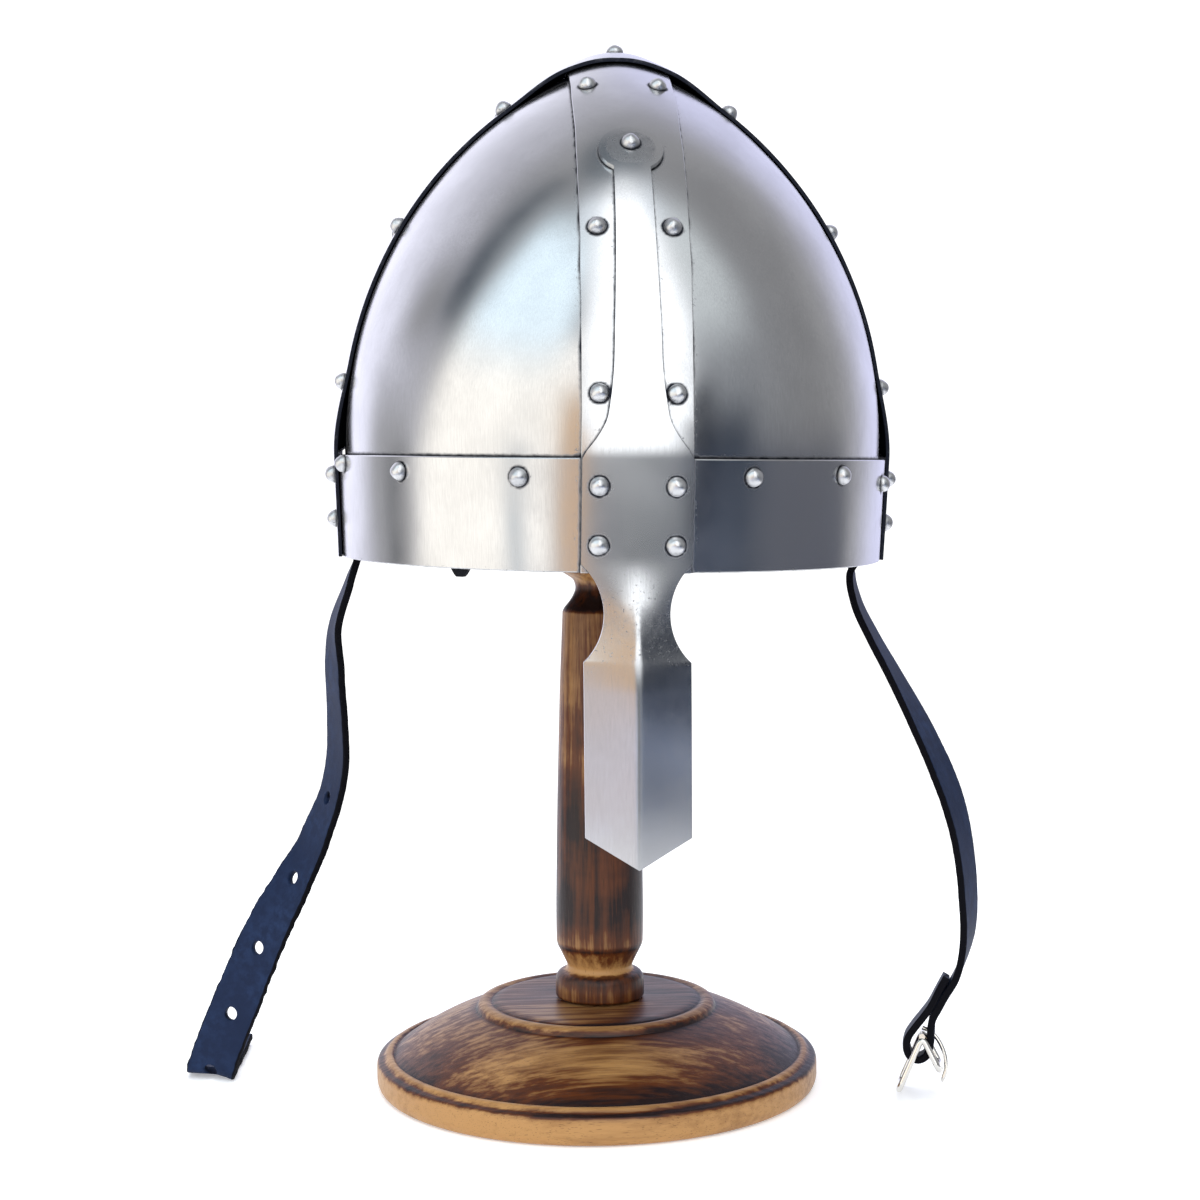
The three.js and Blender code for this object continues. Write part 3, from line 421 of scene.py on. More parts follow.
def tube(path, radii, across, closed=False, sides=14):
    """Round sections along a path: circles of the radii, square to the path's direction, with their first
    axis along the part of across that is square to it."""
    if closed:
        along = unit(np.roll(path, -1, 0) - np.roll(path, 1, 0))
    else:
        along = unit(np.gradient(path, axis=0))
    first = unit(across - (across * along).sum(-1, keepdims=True) * along)
    second = np.cross(along, first)
    turn = np.linspace(0, 2 * np.pi, sides, endpoint=False)[None, :, None]
    radii = np.broadcast_to(radii, len(path))[:, None, None]
    return path[:, None] + radii * (np.cos(turn) * first[:, None] + np.sin(turn) * second[:, None])


def turned_sections(profile, sides):
    """Sections of a body turned about the vertical: each (radius, height) of the profile as a circle."""
    turn = np.linspace(0, 2 * np.pi, sides, endpoint=False)
    radius, height = profile[:, 0, None], profile[:, 1, None]
    return np.stack([radius * np.cos(turn), radius * np.sin(turn), height + 0 * turn], -1)


def apply_modifiers(piece):
    """Puts the piece's evaluated mesh in place of its mesh and modifiers."""
    bpy.context.view_layer.update()
    graph = bpy.context.evaluated_depsgraph_get()
    mesh = bpy.data.meshes.new_from_object(piece.evaluated_get(graph))
    old = piece.data
    piece.modifiers.clear()
    piece.data = mesh
    bpy.data.meshes.remove(old)


def cut_out(piece, cutters):
    """Cuts the cutters out of the piece, and deletes them."""
    for cutter in cutters:
        cut = piece.modifiers.new("cut", "BOOLEAN")
        cut.operation, cut.solver, cut.object = "DIFFERENCE", "EXACT", cutter
    apply_modifiers(piece)
    for cutter in cutters:
        bpy.data.meshes.remove(cutter.data)


# The form of the dome, its bands and the places of its rivets

class DomeForm:
    """The dome as a surface of two parameters. An arch, made of the brow's straight slope, a long side arc
    and a small crown arc, each tangent to the next, is turned about the helmet's axis and stretched from
    front to back. s is the distance along the side arch from the brim, and turn the angle round the axis."""

    def __init__(self, sizes):
        skin = sizes.clearance + sizes.sheet
        self.half = sizes.brow_width / 2 - skin
        self.stretch = (sizes.brow_length / 2 - skin) / self.half
        self.brow = sizes.brow_height
        self.flare = math.atan2(sizes.brow_taper, sizes.brow_height)
        self.slope = math.hypot(sizes.brow_taper, sizes.brow_height)
        self.side, self.cap = sizes.side_radius, sizes.crown_radius
        self.side_x = self.half - self.side * math.cos(self.flare)
        self.side_z = self.brow + self.side * math.sin(self.flare)
        self.cap_z = self.side_z + math.sqrt((self.side - self.cap) ** 2 - self.side_x ** 2)
        self.meeting = math.atan2(self.cap_z - self.side_z, -self.side_x)
        self.side_end = self.slope + self.side * (self.meeting + self.flare)
        self.crest = self.side_end + self.cap * (math.pi / 2 - self.meeting)
        self.lean, self.brim = sizes.lean, sizes.brim_height
        self.offset = np.array([sizes.offset_x, sizes.offset_y, sizes.brim_height])
        places = np.linspace(0, self.crest, 2000)
        tilt = self.arch((places[1:] + places[:-1]) / 2)[2]
        steps = np.diff(places) * np.hypot(self.stretch * np.sin(tilt), np.cos(tilt))
        self.front_table = np.concatenate([[0], np.cumsum(steps)]), places

    def arch(self, s):
        """Radius, height and angle of the arch at s: a point on the side arc or the crown arc, and below
        the side arc's foot a point on the straight slope."""
        s = np.asarray(s, float)
        below = np.minimum(s - self.slope, 0)
        side = np.clip((s - self.slope) / self.side, 0, self.meeting + self.flare) - self.flare
        cap = self.meeting + np.maximum(s - self.side_end, 0) / self.cap
        on_cap = s > self.side_end
        x = self.side_x + self.side * np.cos(side) + below * math.sin(self.flare)
        z = self.side_z + self.side * np.sin(side) + below * math.cos(self.flare)
        return (np.where(on_cap, self.cap * np.cos(cap), x),
                np.where(on_cap, self.cap_z + self.cap * np.sin(cap), z),
                np.where(on_cap, cap, side))

    def normal(self, s, turn):
        """The outward normal: that of the arch, turned and tilted by the stretch."""
        tilt, turn = np.broadcast_arrays(self.arch(s)[2], turn)
        return unit(np.stack([self.stretch * np.cos(tilt) * np.cos(turn), np.cos(tilt) * np.sin(turn),
                              self.stretch * np.sin(tilt)], -1))

    def point(self, s, turn, outward=0.0):
        """The arch's point at s, turned and stretched, then moved outward along the normal."""
        x, z, _ = self.arch(s)
        x, z, turn = np.broadcast_arrays(x, z, turn)
        place = np.stack([x * np.cos(turn), self.stretch * x * np.sin(turn), z], -1)
        return place + np.asarray(outward)[..., None] * self.normal(s, turn)

    def stand_off(self, points):
        """How far points stand off the form, measured on the side arch that they lie over."""
        x, y, z = np.moveaxis(points, -1, 0)
        r = np.hypot(x, y / self.stretch)
        tilt = np.arctan2(z - self.side_z, r - self.side_x)
        on_slope = (r - self.half + (self.brow - z) * math.tan(self.flare)) * math.cos(self.flare)
        on_side = np.hypot(r - self.side_x, z - self.side_z) - self.side
        on_cap = np.hypot(r, z - self.cap_z) - self.cap
        return np.select([tilt < -self.flare, tilt < self.meeting], [on_slope, on_side], on_cap)

    def front_place(self, distance):
        """The s of a distance from the brim along the front arch. Below the brim the two are the same."""
        return np.where(distance > 0, np.interp(distance, *self.front_table), distance)

    def to_world(self, points):
        """Points of the helmet's own space, leant to the right and moved onto the stand."""
        x, y, z = np.moveaxis(np.asarray(points, float), -1, 0)
        c, s = math.cos(self.lean), math.sin(self.lean)
        return np.stack([c * x + s * z, y, c * z - s * x], -1) + self.offset


class Band:
    """A band over the dome. along is the distance from the apex, negative towards the heading; across is
    the distance from the middle line; outward is the distance from the inner face. lift is how far the
    inner face stands off the form, as a function of s."""

    def __init__(self, form, heading, lift):
        self.form, self.heading, self.lift = form, heading, lift
        self.sideways = np.array([-math.sin(heading), math.cos(heading), 0.0])

    def under(self, along):
        """The form's s and turn at a place along the band."""
        return self.form.crest - np.abs(along), np.where(along < 0, self.heading, self.heading + np.pi)

    def fall(self, s, turn, normal, across):
        """Most of how far the form falls away from the plane square to the normal at this distance
        across, found by walking down the normal until the stand-off is nil."""
        start = self.form.point(s, turn) + np.asarray(across)[..., None] * self.sideways
        depth = np.zeros(start.shape[:-1])
        for _ in range(12):
            depth = depth + self.form.stand_off(start - depth[..., None] * normal)
        return depth * (1 - FLAT_SHARE * np.cos(self.form.arch(s)[2]))

    def place(self, along, across, outward):
        """The middle line's point, moved across, out along the normal and down by the fall."""
        along, across, outward = np.broadcast_arrays(along, across, outward)
        s, turn = self.under(along)
        normal = self.form.normal(s, turn)
        middle = self.form.point(s, turn, self.lift(s)) + across[..., None] * self.sideways
        return middle + (outward - self.fall(s, turn, normal, across))[..., None] * normal

    def spots(self, along, across, outward):
        """Places on the band and the band's own normals there, from small steps along and across."""
        step = 0.5 * MM
        place = self.place(along, across, outward)
        forward = self.place(along + step, across, outward) - self.place(along - step, across, outward)
        aside = self.place(along, across + step, outward) - self.place(along, across - step, outward)
        normal = unit(np.cross(forward, aside))
        outward = (normal * self.form.normal(*self.under(along))).sum(-1, keepdims=True)
        return place, np.where(outward < 0, -normal, normal)


def helmet_bands(form, sizes):
    """The band from front to back, and the cross band that passes over it. Both pass over the brow."""
    crossing = sizes.band_width * CROSSING_SHARE

    def over_brow(s):
        step = sizes.sheet + sizes.clearance + BROW_PROUD
        return sizes.clearance + step * fade_out(s, form.slope, BAND_STEP_RUN)

    def over_crown(s):
        step = fade_out(form.crest - s, crossing, CROSSING_RUN)
        return over_brow(s) + (sizes.sheet + CROSSING_GAP) * step

    return Band(form, FRONT, over_brow), Band(form, LEFT, over_crown)


def brow_spots(form, sizes, end):
    """Places and normals of the brow band's rivets, at the front for -1 and at the rear for 1."""
    turns = np.array([end * (math.pi / 2 - math.radians(row[1])) for row in BROW_RIVETS])
    places = np.array([row[2] for row in BROW_RIVETS]) * sizes.brow_height
    outward = sizes.sheet + sizes.clearance + BROW_PROUD
    return form.point(places, turns, outward), form.normal(places, turns)


def pair_spots(band, sizes, places, end, outward):
    """Places and normals of pairs of rivets on a band, at these s, towards its heading for -1."""
    along = np.repeat(end * (band.form.crest - np.asarray(places)), 2)
    across = np.tile([-1, 1], len(places)) * (sizes.band_width / 2 - RIVET_INSET)
    return band.spots(along, across, outward)


def nasal_spots(form, sizes, band):
    """Places and normals of the nasal guard's rivets."""
    share, side = np.array(NASAL_RIVETS, float).T
    along = form.front_place(share * sizes.nasal_head_place) - form.crest
    outward = sizes.sheet + sizes.clearance + sizes.nasal_sheet
    return band.spots(along, side * (sizes.band_width / 2 - RIVET_INSET), outward)


def rivet_groups(form, sizes):
    """Every rivet, as rows of (names, stands for its own node, places and normals)."""
    fore_aft, cross = helmet_bands(form, sizes)
    dome_places = form.front_place(np.array(FRONT_RIVETS))
    low_places = np.array(BROW_PAIRS) * form.crest
    cross_places = np.array(CROSS_RIVETS) * form.crest
    groups = [
        ([f"rivet_brow_{row[0]}" for row in BROW_RIVETS], True, brow_spots(form, sizes, -1)),
        ([f"rivet_rear_brow_{i + 1}" for i in range(6)], False, brow_spots(form, sizes, 1)),
        ([f"rivet_front_{i + 1}" for i in range(6)], True,
         pair_spots(fore_aft, sizes, dome_places, -1, sizes.sheet)),
        ([f"rivet_rear_band_{i + 1}" for i in range(10)], False,
         pair_spots(fore_aft, sizes, np.concatenate([low_places, dome_places]), 1, sizes.sheet)),
        (["rivet_apex"], True, cross.spots(np.array([0.0]), np.array([0.0]), sizes.sheet)),
        ([f"rivet_nasal_{i + 1}" for i in range(5)], True, nasal_spots(form, sizes, fore_aft)),
    ]
    for side, end in (("left", -1), ("right", 1)):
        names = [f"rivet_cross_{side}_{i + 1}" for i in range(10)]
        groups.append((names, True, pair_spots(cross, sizes, cross_places, end, sizes.sheet)))
    return groups


def rivet_shade(points, form, sizes):
    """Patina and painted shade round the rivets: 1 at a head's edge, dying away over a little more
    than a millimetre.
    """
    spots = np.concatenate([group[2][0] for group in rivet_groups(form, sizes)])
    flat = points.reshape(-1, 3)
    nearest = np.full(len(flat), 1.0)
    for spot in spots:
        nearest = np.minimum(nearest, np.linalg.norm(flat - spot, axis=1))
    beyond = np.maximum(nearest - sizes.rivet_radius, 0) / RIVET_PATINA_AND_SHADE
    return np.exp(-beyond ** 2).reshape(points.shape[:-1])


# Pieces of metal

def add_sheet(name, form, faces, shades, material, slot, node, **settings):
    """A closed sheet of metal between its outer and its inner face, with the shade of each, for its node."""
    piece = sheet_piece(name, *map(form.to_world, faces), material, **settings)
    shades = [np.broadcast_to(shade, faces[0].shape[:2]).ravel() for shade in shades]
    point_values(piece, "shade", np.concatenate(shades))
    dress(piece, slot, node)


def add_dome_plates(form, sizes, material):
    """Four quarter plates: the form itself over a quarter turn, from behind the brow band to the apex
    hole, with a wall inward and a smooth unevenness."""
    turns = np.linspace(0, np.pi / 2, 84)[:, None]
    places = np.linspace(form.slope - PLATE_OVERLAP, form.crest - APEX_HOLE, 128)[None, :]
    quarter = form.point(places, turns)
    inside = form.point(places, turns, -sizes.sheet)
    for seed, (name, x, y) in enumerate((("front_left", -1, -1), ("front_right", 1, -1),
                                         ("rear_left", -1, 1), ("rear_right", 1, 1))):
        mirror = np.array([x, y, 1.0])
        shift = np.array([x, y, 0.0]) * sizes.clearance / 2
        outer, inner = (np.maximum(grid, [0, 0, -1]) * mirror + shift for grid in (quarter, inside))
        wander = unevenness(outer, PLATE_WAVES, sizes.unevenness, seed + 10)
        normals = form.normal(places, turns) * mirror
        outer, inner = (grid + wander[..., None] * normals for grid in (outer, inner))
        # Painted shadow: each plate darkens towards its seams under the bands and the brow band.
        hidden = np.array([sizes.band_width / 2, sizes.band_width / 2, sizes.brow_height])
        seams = ((outer * [x, y, 1.0] - hidden) / SEAM_PAINTED_SHADOW).min(-1)
        shade = np.exp(-np.maximum(seams, 0))
        add_sheet(f"plate_{name}", form, (outer, inner), (shade, shade), material, "steel_plate",
                  f"dome_plate_{name}")


def add_brow_band(form, sizes, material):
    """A ring: the form's slope all the way round, one wall and a narrow gap outside it."""
    turns = (FRONT + np.linspace(0, 2 * np.pi, 720, endpoint=False))[:, None] + np.pi
    places = np.linspace(0, form.slope, 34)[None, :]
    skin = sizes.sheet + sizes.clearance + BROW_PROUD
    outer = form.point(places, turns, skin)
    wander = unevenness(outer, BROW_WAVES, sizes.unevenness * 0.8, 21)
    outer = form.point(places, turns, skin + wander)
    inner = form.point(places, turns, skin - sizes.sheet + wander)
    sides = np.minimum(np.abs(outer[..., 0]), np.abs(outer[..., 1])) - sizes.band_width / 2
    # Painted shadow on the brow beside the bands that cross it.
    beside = 0.9 * np.exp(-np.maximum(sides, 0) / BESIDE_PAINTED_SHADOW)
    shade = np.maximum(rivet_shade(outer, form, sizes), beside)
    # Painted shade along the brow's lower edge, darkest at the brim.
    shade = np.maximum(shade, 0.6 * np.exp(-places / BRIM_PAINTED_SHADE))
    add_sheet("brow_ring", form, (outer, inner), (shade, shade), material, "steel_band", "brow_band",
              ring=True, bevel=0.4 * MM)


def nasal_outline(form, sizes, along, across):
    """How far a place on the front band lies outside the nasal guard's outline: across it, or from the
    round head's circle near the head."""
    rows, half = nasal_rows(sizes)
    distance = np.interp(form.crest - np.abs(along), form.front_table[1], form.front_table[0])
    beside = np.abs(across) - np.interp(distance, rows[::-1], half[::-1])
    head = np.hypot(distance - sizes.nasal_head_place, across) - sizes.nasal_head
    neck = sizes.nasal_head_place - 0.8 * sizes.nasal_head
    outside = np.where(distance > neck, np.minimum(head, beside + 1.0 * (distance > neck + 4 * MM)), beside)
    return np.where(along < 0, outside, 1.0)


def add_band(name, band, sizes, seed, material, node):
    """A strip over the dome: places on the band over its width and its whole run, with a slightly
    wandering edge. Where it spans a gap beside the brow band, its inner face swells to the plate, a dark
    sheet that fills the gap as painted shade. Its whole inner face is painted shade."""
    form = band.form
    along = np.linspace(-form.crest, form.crest, 440)[None, :]
    across = np.linspace(-1, 1, 54)[:, None]
    line = band.place(along, 0 * along, sizes.sheet)
    half = sizes.band_width / 2 + unevenness(line, BAND_EDGE_WAVES, 0.16 * MM, seed)
    wander = unevenness(line, BAND_WAVES, sizes.unevenness * 0.5, seed + 1)
    outer = band.place(along, across * half, sizes.sheet + wander)
    s = form.crest - np.abs(along)
    open_run = smoothstep(s, form.slope + 1 * MM, form.slope + 3 * MM)
    open_run = open_run * smoothstep(np.abs(along), sizes.band_width * 0.5, sizes.band_width * 0.6)
    # A dark sheet of painted shade: the inner face swells to close the gap beside the brow band.
    shade_filler_swell = (band.lift(s) - sizes.clearance) * open_run * np.clip(4 * (1 - np.abs(across)), 0, 1)
    inner = band.place(along, across * half, wander - shade_filler_swell)
    # Painted dark reflection: darker towards the band's edges, strongly on the cross band.
    edge = np.exp(-(1 - np.abs(across)) * half / EDGE_PAINTED_DARK_REFLECTION)
    shade = np.maximum(rivet_shade(outer, form, sizes), (0.1 if band.heading == FRONT else 0.9) * edge)
    if band.heading == FRONT:
        # Painted shadow on the band round the nasal guard's outline.
        outside = nasal_outline(form, sizes, along, across * half)
        shade = np.maximum(shade, 0.95 * np.exp(-np.maximum(outside, 0) / NASAL_PAINTED_SHADOW))
    # The whole inner face is painted shade.
    add_sheet(name, form, (outer, inner), (shade, 1.0), material, "steel_band", node, bevel=0.2 * MM)


def nasal_rows(sizes):
    """Distances from the brim and half widths down the nasal guard: a circle, the neck that widens on a
    cubic, a circular notch on each side and the straight guard."""
    turns = np.radians(np.concatenate([np.linspace(88, 60, 10), np.linspace(56, -42, 26)]))
    neck_foot = math.sqrt(sizes.nasal_head ** 2 - (sizes.nasal_neck / 2) ** 2)
    turns = np.append(turns, -math.atan2(neck_foot, sizes.nasal_neck / 2))
    head = sizes.nasal_head_place + sizes.nasal_head * np.sin(turns), sizes.nasal_head * np.cos(turns)
    share = np.concatenate([np.linspace(1, 0.2, 50, endpoint=False), np.linspace(0.2, 0, 36)])[1:]
    widening = through(*np.array(NASAL_FLARE).T, share)
    neck = (sizes.brow_height + share * (sizes.nasal_head_place - neck_foot - sizes.brow_height),
            (sizes.nasal_neck + widening * (sizes.nasal_plate - sizes.nasal_neck)) / 2)
    offset = np.linspace(-1, 1, 46) * sizes.notch_length / 2
    radius = ((sizes.notch_length / 2) ** 2 + sizes.notch_depth ** 2) / (2 * sizes.notch_depth)
    bite = np.sqrt(radius ** 2 - offset ** 2) - (radius - sizes.notch_depth)
    width = np.linspace(sizes.nasal_plate, sizes.nasal_guard, 46)
    middle = sizes.notch_start - sizes.notch_length / 2
    plate_rows = np.linspace(sizes.brow_height, middle + sizes.notch_length / 2, 30, endpoint=False)[1:]
    plate = plate_rows, np.full(29, sizes.nasal_plate / 2)
    notch = middle - offset, width / 2 - bite
    guard_rows = np.linspace(middle - sizes.notch_length / 2, -sizes.nasal_drop, 50)[1:]
    guard = guard_rows, np.full(49, sizes.nasal_guard / 2)
    return [np.concatenate(parts) for parts in zip(head, neck, plate, notch, guard)]


def add_nasal(form, sizes, band, material):
    """The guard lies on the front band, follows its curve above the notch, and turns into a ridge fold
    with a pointed end below it, where it swings back by the helmet's lean and so hangs upright. Its head
    is darker, and a thin painted shade, which dims the fold's highlight, is strongest a little below the
    middle of the notch. Its inner face is lightly darkened as painted shade."""
    rows, half = nasal_rows(sizes)
    across = np.linspace(-1, 1, 45)[:, None]
    round_across = np.sqrt(across ** 2 + 0.05 ** 2)
    fold = smoothstep(-rows, -(sizes.notch_start + sizes.notch_length * 0.1),
                      -(sizes.notch_start - sizes.notch_length * 1.3))
    tip = sizes.nasal_tip * smoothstep(-rows, sizes.nasal_drop * 0.6, sizes.nasal_drop)
    along = form.front_place(rows) - tip * (1 - np.abs(across)) - form.crest
    ridge = fold * (sizes.nasal_ridge * (1 - round_across) + band.fall(
        form.crest + along, FRONT, form.normal(form.crest + along, FRONT), across * half))
    wander = unevenness(np.stack(np.broadcast_arrays(across * half, 0 * along, along), -1),
                        NASAL_WAVES, sizes.unevenness * 0.35, 31)
    face = sizes.sheet + sizes.clearance + ridge + wander
    swing = -np.minimum(rows, 0)[:, None] * math.sin(sizes.lean) * band.sideways
    outer = band.place(along, across * half, face + sizes.nasal_sheet) + swing
    inner = band.place(along, across * half, face) + swing
    head = np.hypot(rows - sizes.nasal_head_place, across * half) / sizes.nasal_head
    notch = (rows - sizes.notch_start) / sizes.notch_length + 0.6
    shade = np.maximum(rivet_shade(outer, form, sizes), 0.58 * fade_out(head, 0.72, 0.2))
    # Painted shade over the notch, dimming the highlight on the fold.
    shade = np.maximum(shade, 0.5 * np.exp(-(notch / 0.5) ** 2))
    # The inner face is lightly darkened as painted shade.
    add_sheet("nasal_guard", form, (outer, inner), (shade, 0.35), material, "steel_nasal", "nasal",
              bevel=0.45 * MM)


def rivet_sections(place, normal, sizes, seed):
    """A low dome, circles of radius r cos f at height h sin f for f from 0 to a right angle, set on the
    place along its normal, with small hammer dents."""
    rise = np.radians(np.linspace(-8, 88, 15))[:, None]
    turn = np.linspace(0, 2 * np.pi, 30, endpoint=False)[None, :]
    first = unit(np.cross(normal, [0.3, 0.2, 0.93]))
    second = np.cross(normal, first)
    radius, height = sizes.rivet_radius * np.cos(rise), sizes.rivet_height * np.sin(rise)
    grid = np.stack(np.broadcast_arrays(radius * np.cos(turn), radius * np.sin(turn), height), -1)
    grid = grid * (1 + unevenness(grid, DENT_WAVES, DENT_DEPTH, seed)[..., None])
    return place + grid @ np.stack([first, second, normal])


def add_rivets(form, sizes, material):
    """One dented dome for every rivet. The rear ones belong to their band's node."""
    seed = 100
    for names, own_node, (places, normals) in rivet_groups(form, sizes):
        for name, place, normal in zip(names, places, normals):
            seed += 1
            sections = form.to_world(rivet_sections(place, normal, sizes, seed))
            piece = swept(f"head_{name}", sections, material)
            # Patina and painted shade: each head darkens towards its foot on the sheet.
            rise = np.linspace(1, 0, sections.shape[0])[:, None] ** 2.5 + np.zeros(sections.shape[1])
            point_values(piece, "shade", rise)
            dress(piece, "steel_rivet", *([name] if own_node else []))


# Leather and buckle

def rounded_section(width, thickness, radius, flats=18):
    """A loop of points round a rectangle with rounded corners: a quarter circle at each corner, and even
    steps along the two wide faces. Also returns how near each point is to a cut edge, from 0 to 1."""
    quarter = np.linspace(0, np.pi / 2, 5)
    loop = []
    for number, (x, y) in enumerate(((1, 1), (-1, 1), (-1, -1), (1, -1))):
        turn = quarter + number * np.pi / 2
        centre = np.array([x * (width / 2 - radius), y * (thickness / 2 - radius)])
        loop.append(centre + radius * np.stack([np.cos(turn), np.sin(turn)], -1))
        if number % 2 == 0:
            reach = -x * (width / 2 - radius)
            face = np.linspace(-reach, reach, flats)[1:-1]
            loop.append(np.stack([face, np.full_like(face, y * thickness / 2)], -1))
    section = np.concatenate(loop)
    edge = smoothstep(np.abs(section[:, 0]), width / 2 - 1.1 * radius, width / 2 - 0.4 * radius)
    return section, edge


def width_at(turns, out):
    """Level directions for a strap's width: fore and aft at 0, out to the side at 90 degrees."""
    turns = np.radians(np.asarray(turns, float))
    return np.stack([out * np.sin(turns), np.cos(turns), 0 * turns], -1)


def strap_curve(points, widths, count):
    """Points along a strap's middle line, and the directions of its width and of its face. The line is a
    cubic through the stations over the distances between them."""
    knots = np.concatenate([[0], np.cumsum(np.linalg.norm(np.diff(points, axis=0), axis=1))])
    at = np.linspace(0, knots[-1], count)
    line = through(knots, points, at)
    along = unit(np.gradient(line, axis=0))
    width = np.stack([np.interp(at, knots, column) for column in widths.T], -1)
    width = unit(width - (width * along).sum(-1, keepdims=True) * along)
    return line, width, np.cross(along, width)


def strap_piece(name, curve, sizes, seed, material):
    """A strip of leather: the rounded section carried along the curve, with ragged cut edges."""
    line, width, face = curve
    section, edge = rounded_section(sizes.width, sizes.thickness, 0.7 * MM)
    ground = line[:, None] + section[None, :, :1] * width[:, None]
    rag = unevenness(ground, 2.6 * MM, sizes.rough, seed) + unevenness(ground, 12 * MM, sizes.rough, seed + 1)
    waves = unevenness(ground, 30 * MM, 0.18 * MM, seed + 2)
    across = section[:, 0] + rag * edge * np.sign(section[:, 0])
    sections = (line[:, None] + across[..., None] * width[:, None]
                + (section[:, 1] + waves)[..., None] * face[:, None])
    piece = swept(name, sections, material, sharp=60)
    point_values(piece, "edge", edge + np.zeros(len(line))[:, None])
    return piece


def tucked(form, sizes, straps, turn):
    """The stations of a strap's upper end, against the inside of the dome plate."""
    inward = -(sizes.sheet + sizes.clearance + straps.thickness / 2 + 0.5 * MM)
    places = np.array([STRAP_TUCK, STRAP_TUCK / 2, 1 * MM])
    return form.to_world(form.point(places, turn, inward))


def hanging(rows, sizes, out):
    """The stations of a strap below the brim, from its table."""
    fall, sideways, back, _ = np.array(rows, float).T
    half = sizes.brow_width / 2
    return np.stack([sizes.offset_x + out * sideways * half, back * half, sizes.brim_height * (1 - fall)], -1)


def punch(name, centre, axis, radius, depth):
    """A cutter: a round bar along the axis through the centre."""
    path = centre + np.linspace(-depth, depth, 3)[:, None] * axis
    across = unit(np.cross(axis, [0.31, 0.95, 0.05]))
    return swept(name, tube(path, radius, across, sides=28), None)


def add_left_strap(form, sizes, straps, material):
    """The punched half: it hangs, swings out and lies with its end folded under. Its five holes lie at
    given places of its stations."""
    points = np.concatenate([tucked(form, sizes, straps, LEFT), hanging(LEFT_STRAP, sizes, -1)])
    widths = width_at([0, 0, 0] + [row[3] for row in LEFT_STRAP], -1)
    curve = strap_curve(points, widths, 340)
    line, _, face = curve
    piece = strap_piece("strap_punched", curve, straps, 41, material)
    stations = np.array(STRAP_HOLES) * (len(points) - 1)
    low = stations.astype(int)
    wanted = points[low] + (stations - low)[:, None] * (points[low + 1] - points[low])
    nearest = np.linalg.norm(line[None] - wanted[:, None], axis=-1).argmin(1)
    cutters = [punch(f"punch_{i}", line[n], face[n], straps.hole / 2, 4 * MM)
               for i, n in enumerate(nearest)]
    cut_out(piece, cutters)
    dress(piece, "strap_leather", "strap_left")


def buckle_frame(sizes, straps):
    """The middle of the buckle's bar, and the buckle's own directions: to the right, along the bar and up.
    They are the level ones, turned about the vertical and dipped along the bar."""
    side, back = np.array(BUCKLE_PLACE) * sizes.brow_width / 2
    bar = np.array([sizes.offset_x + side, sizes.offset_y + back, straps.buckle_height])
    axes = Matrix.Rotation(-straps.turn, 3, "Z") @ Matrix.Rotation(-straps.tilt, 3, "X")
    return bar, np.array(axes).T


def add_right_strap(form, sizes, straps, material):
    """The buckle's half: it hangs in a long bow, loops round the bar and returns beside itself. A slot
    in the loop lets the prong out."""
    bar, axes = buckle_frame(sizes, straps)
    right, up = np.array(STRAP_LOOP).T * straps.loop
    loop = bar + np.stack([right, 0 * right, up], -1) @ axes
    points = np.concatenate([tucked(form, sizes, straps, 0.0), hanging(RIGHT_STRAP, sizes, 1), loop])
    hung = width_at([0, 0, 0] + [row[3] for row in RIGHT_STRAP], 1)
    widths = np.concatenate([hung, np.tile(axes[1], (len(loop), 1))])
    piece = strap_piece("strap_buckled", strap_curve(points, widths, 420), straps, 51, material)
    corners = np.array([[-1, -1], [1, -1], [1, 1], [-1, 1]]) / 2 * [SLOT_WIDTH, SLOT_HEIGHT * straps.loop]
    place = np.array([0, SLOT_PLACE * straps.loop])
    reach = np.array(SLOT_ENDS) * straps.loop
    sections = np.stack([np.insert(corners + place, 0, x, axis=1) for x in reach])
    cut_out(piece, [swept("slot", bar + sections @ axes, None)])
    dress(piece, "strap_leather", "strap_right")


def add_buckle(sizes, straps, material):
    """Bent wire: a ring whose corners are eased with parabolas, a straight bar across its top, and a
    prong on the bar whose tip hangs over the back wire."""
    bar, axes = buckle_frame(sizes, straps)
    half = straps.buckle_width / 2
    corners = np.array(BUCKLE_RING) * [MM, half, MM]
    ring = bar + eased(corners, np.full(6, 1.4) * straps.wire, steps=9) @ axes
    ring_sections = tube(ring, straps.wire / 2, ring - ring.mean(0), closed=True)
    bar_path = bar + np.linspace(-1, 1, 9)[:, None] * half * axes[1]
    bar_sections = tube(bar_path, straps.wire / 2, axes[0])
    frame_piece = swept("buckle_wire", ring_sections, material, closed=True)
    bar_piece = swept("buckle_bar", bar_sections, material)
    clear = (straps.wire + straps.prong) / 2 + sizes.clearance
    points = np.array(PRONG_PATH) * clear
    points[2:] += np.insert(BACK_WIRE, 1, 0) * MM
    points[4, 2] -= PRONG_DROP
    knots = np.concatenate([[0], np.cumsum(np.linalg.norm(np.diff(points, axis=0), axis=1))])
    at = np.linspace(0, knots[-1], 70)
    path = bar + through(knots, points, at) @ axes
    taper = np.sqrt(np.clip((knots[-1] * 1.004 - at) / (knots[-1] * 0.08), 0, 1))
    prong = swept("buckle_tongue", tube(path, straps.prong / 2 * taper, axes[1]), material)
    dress(frame_piece, "buckle_metal", "buckle_frame")
    dress(bar_piece, "buckle_metal", "buckle_frame")
    dress(prong, "buckle_metal", "buckle_prong")


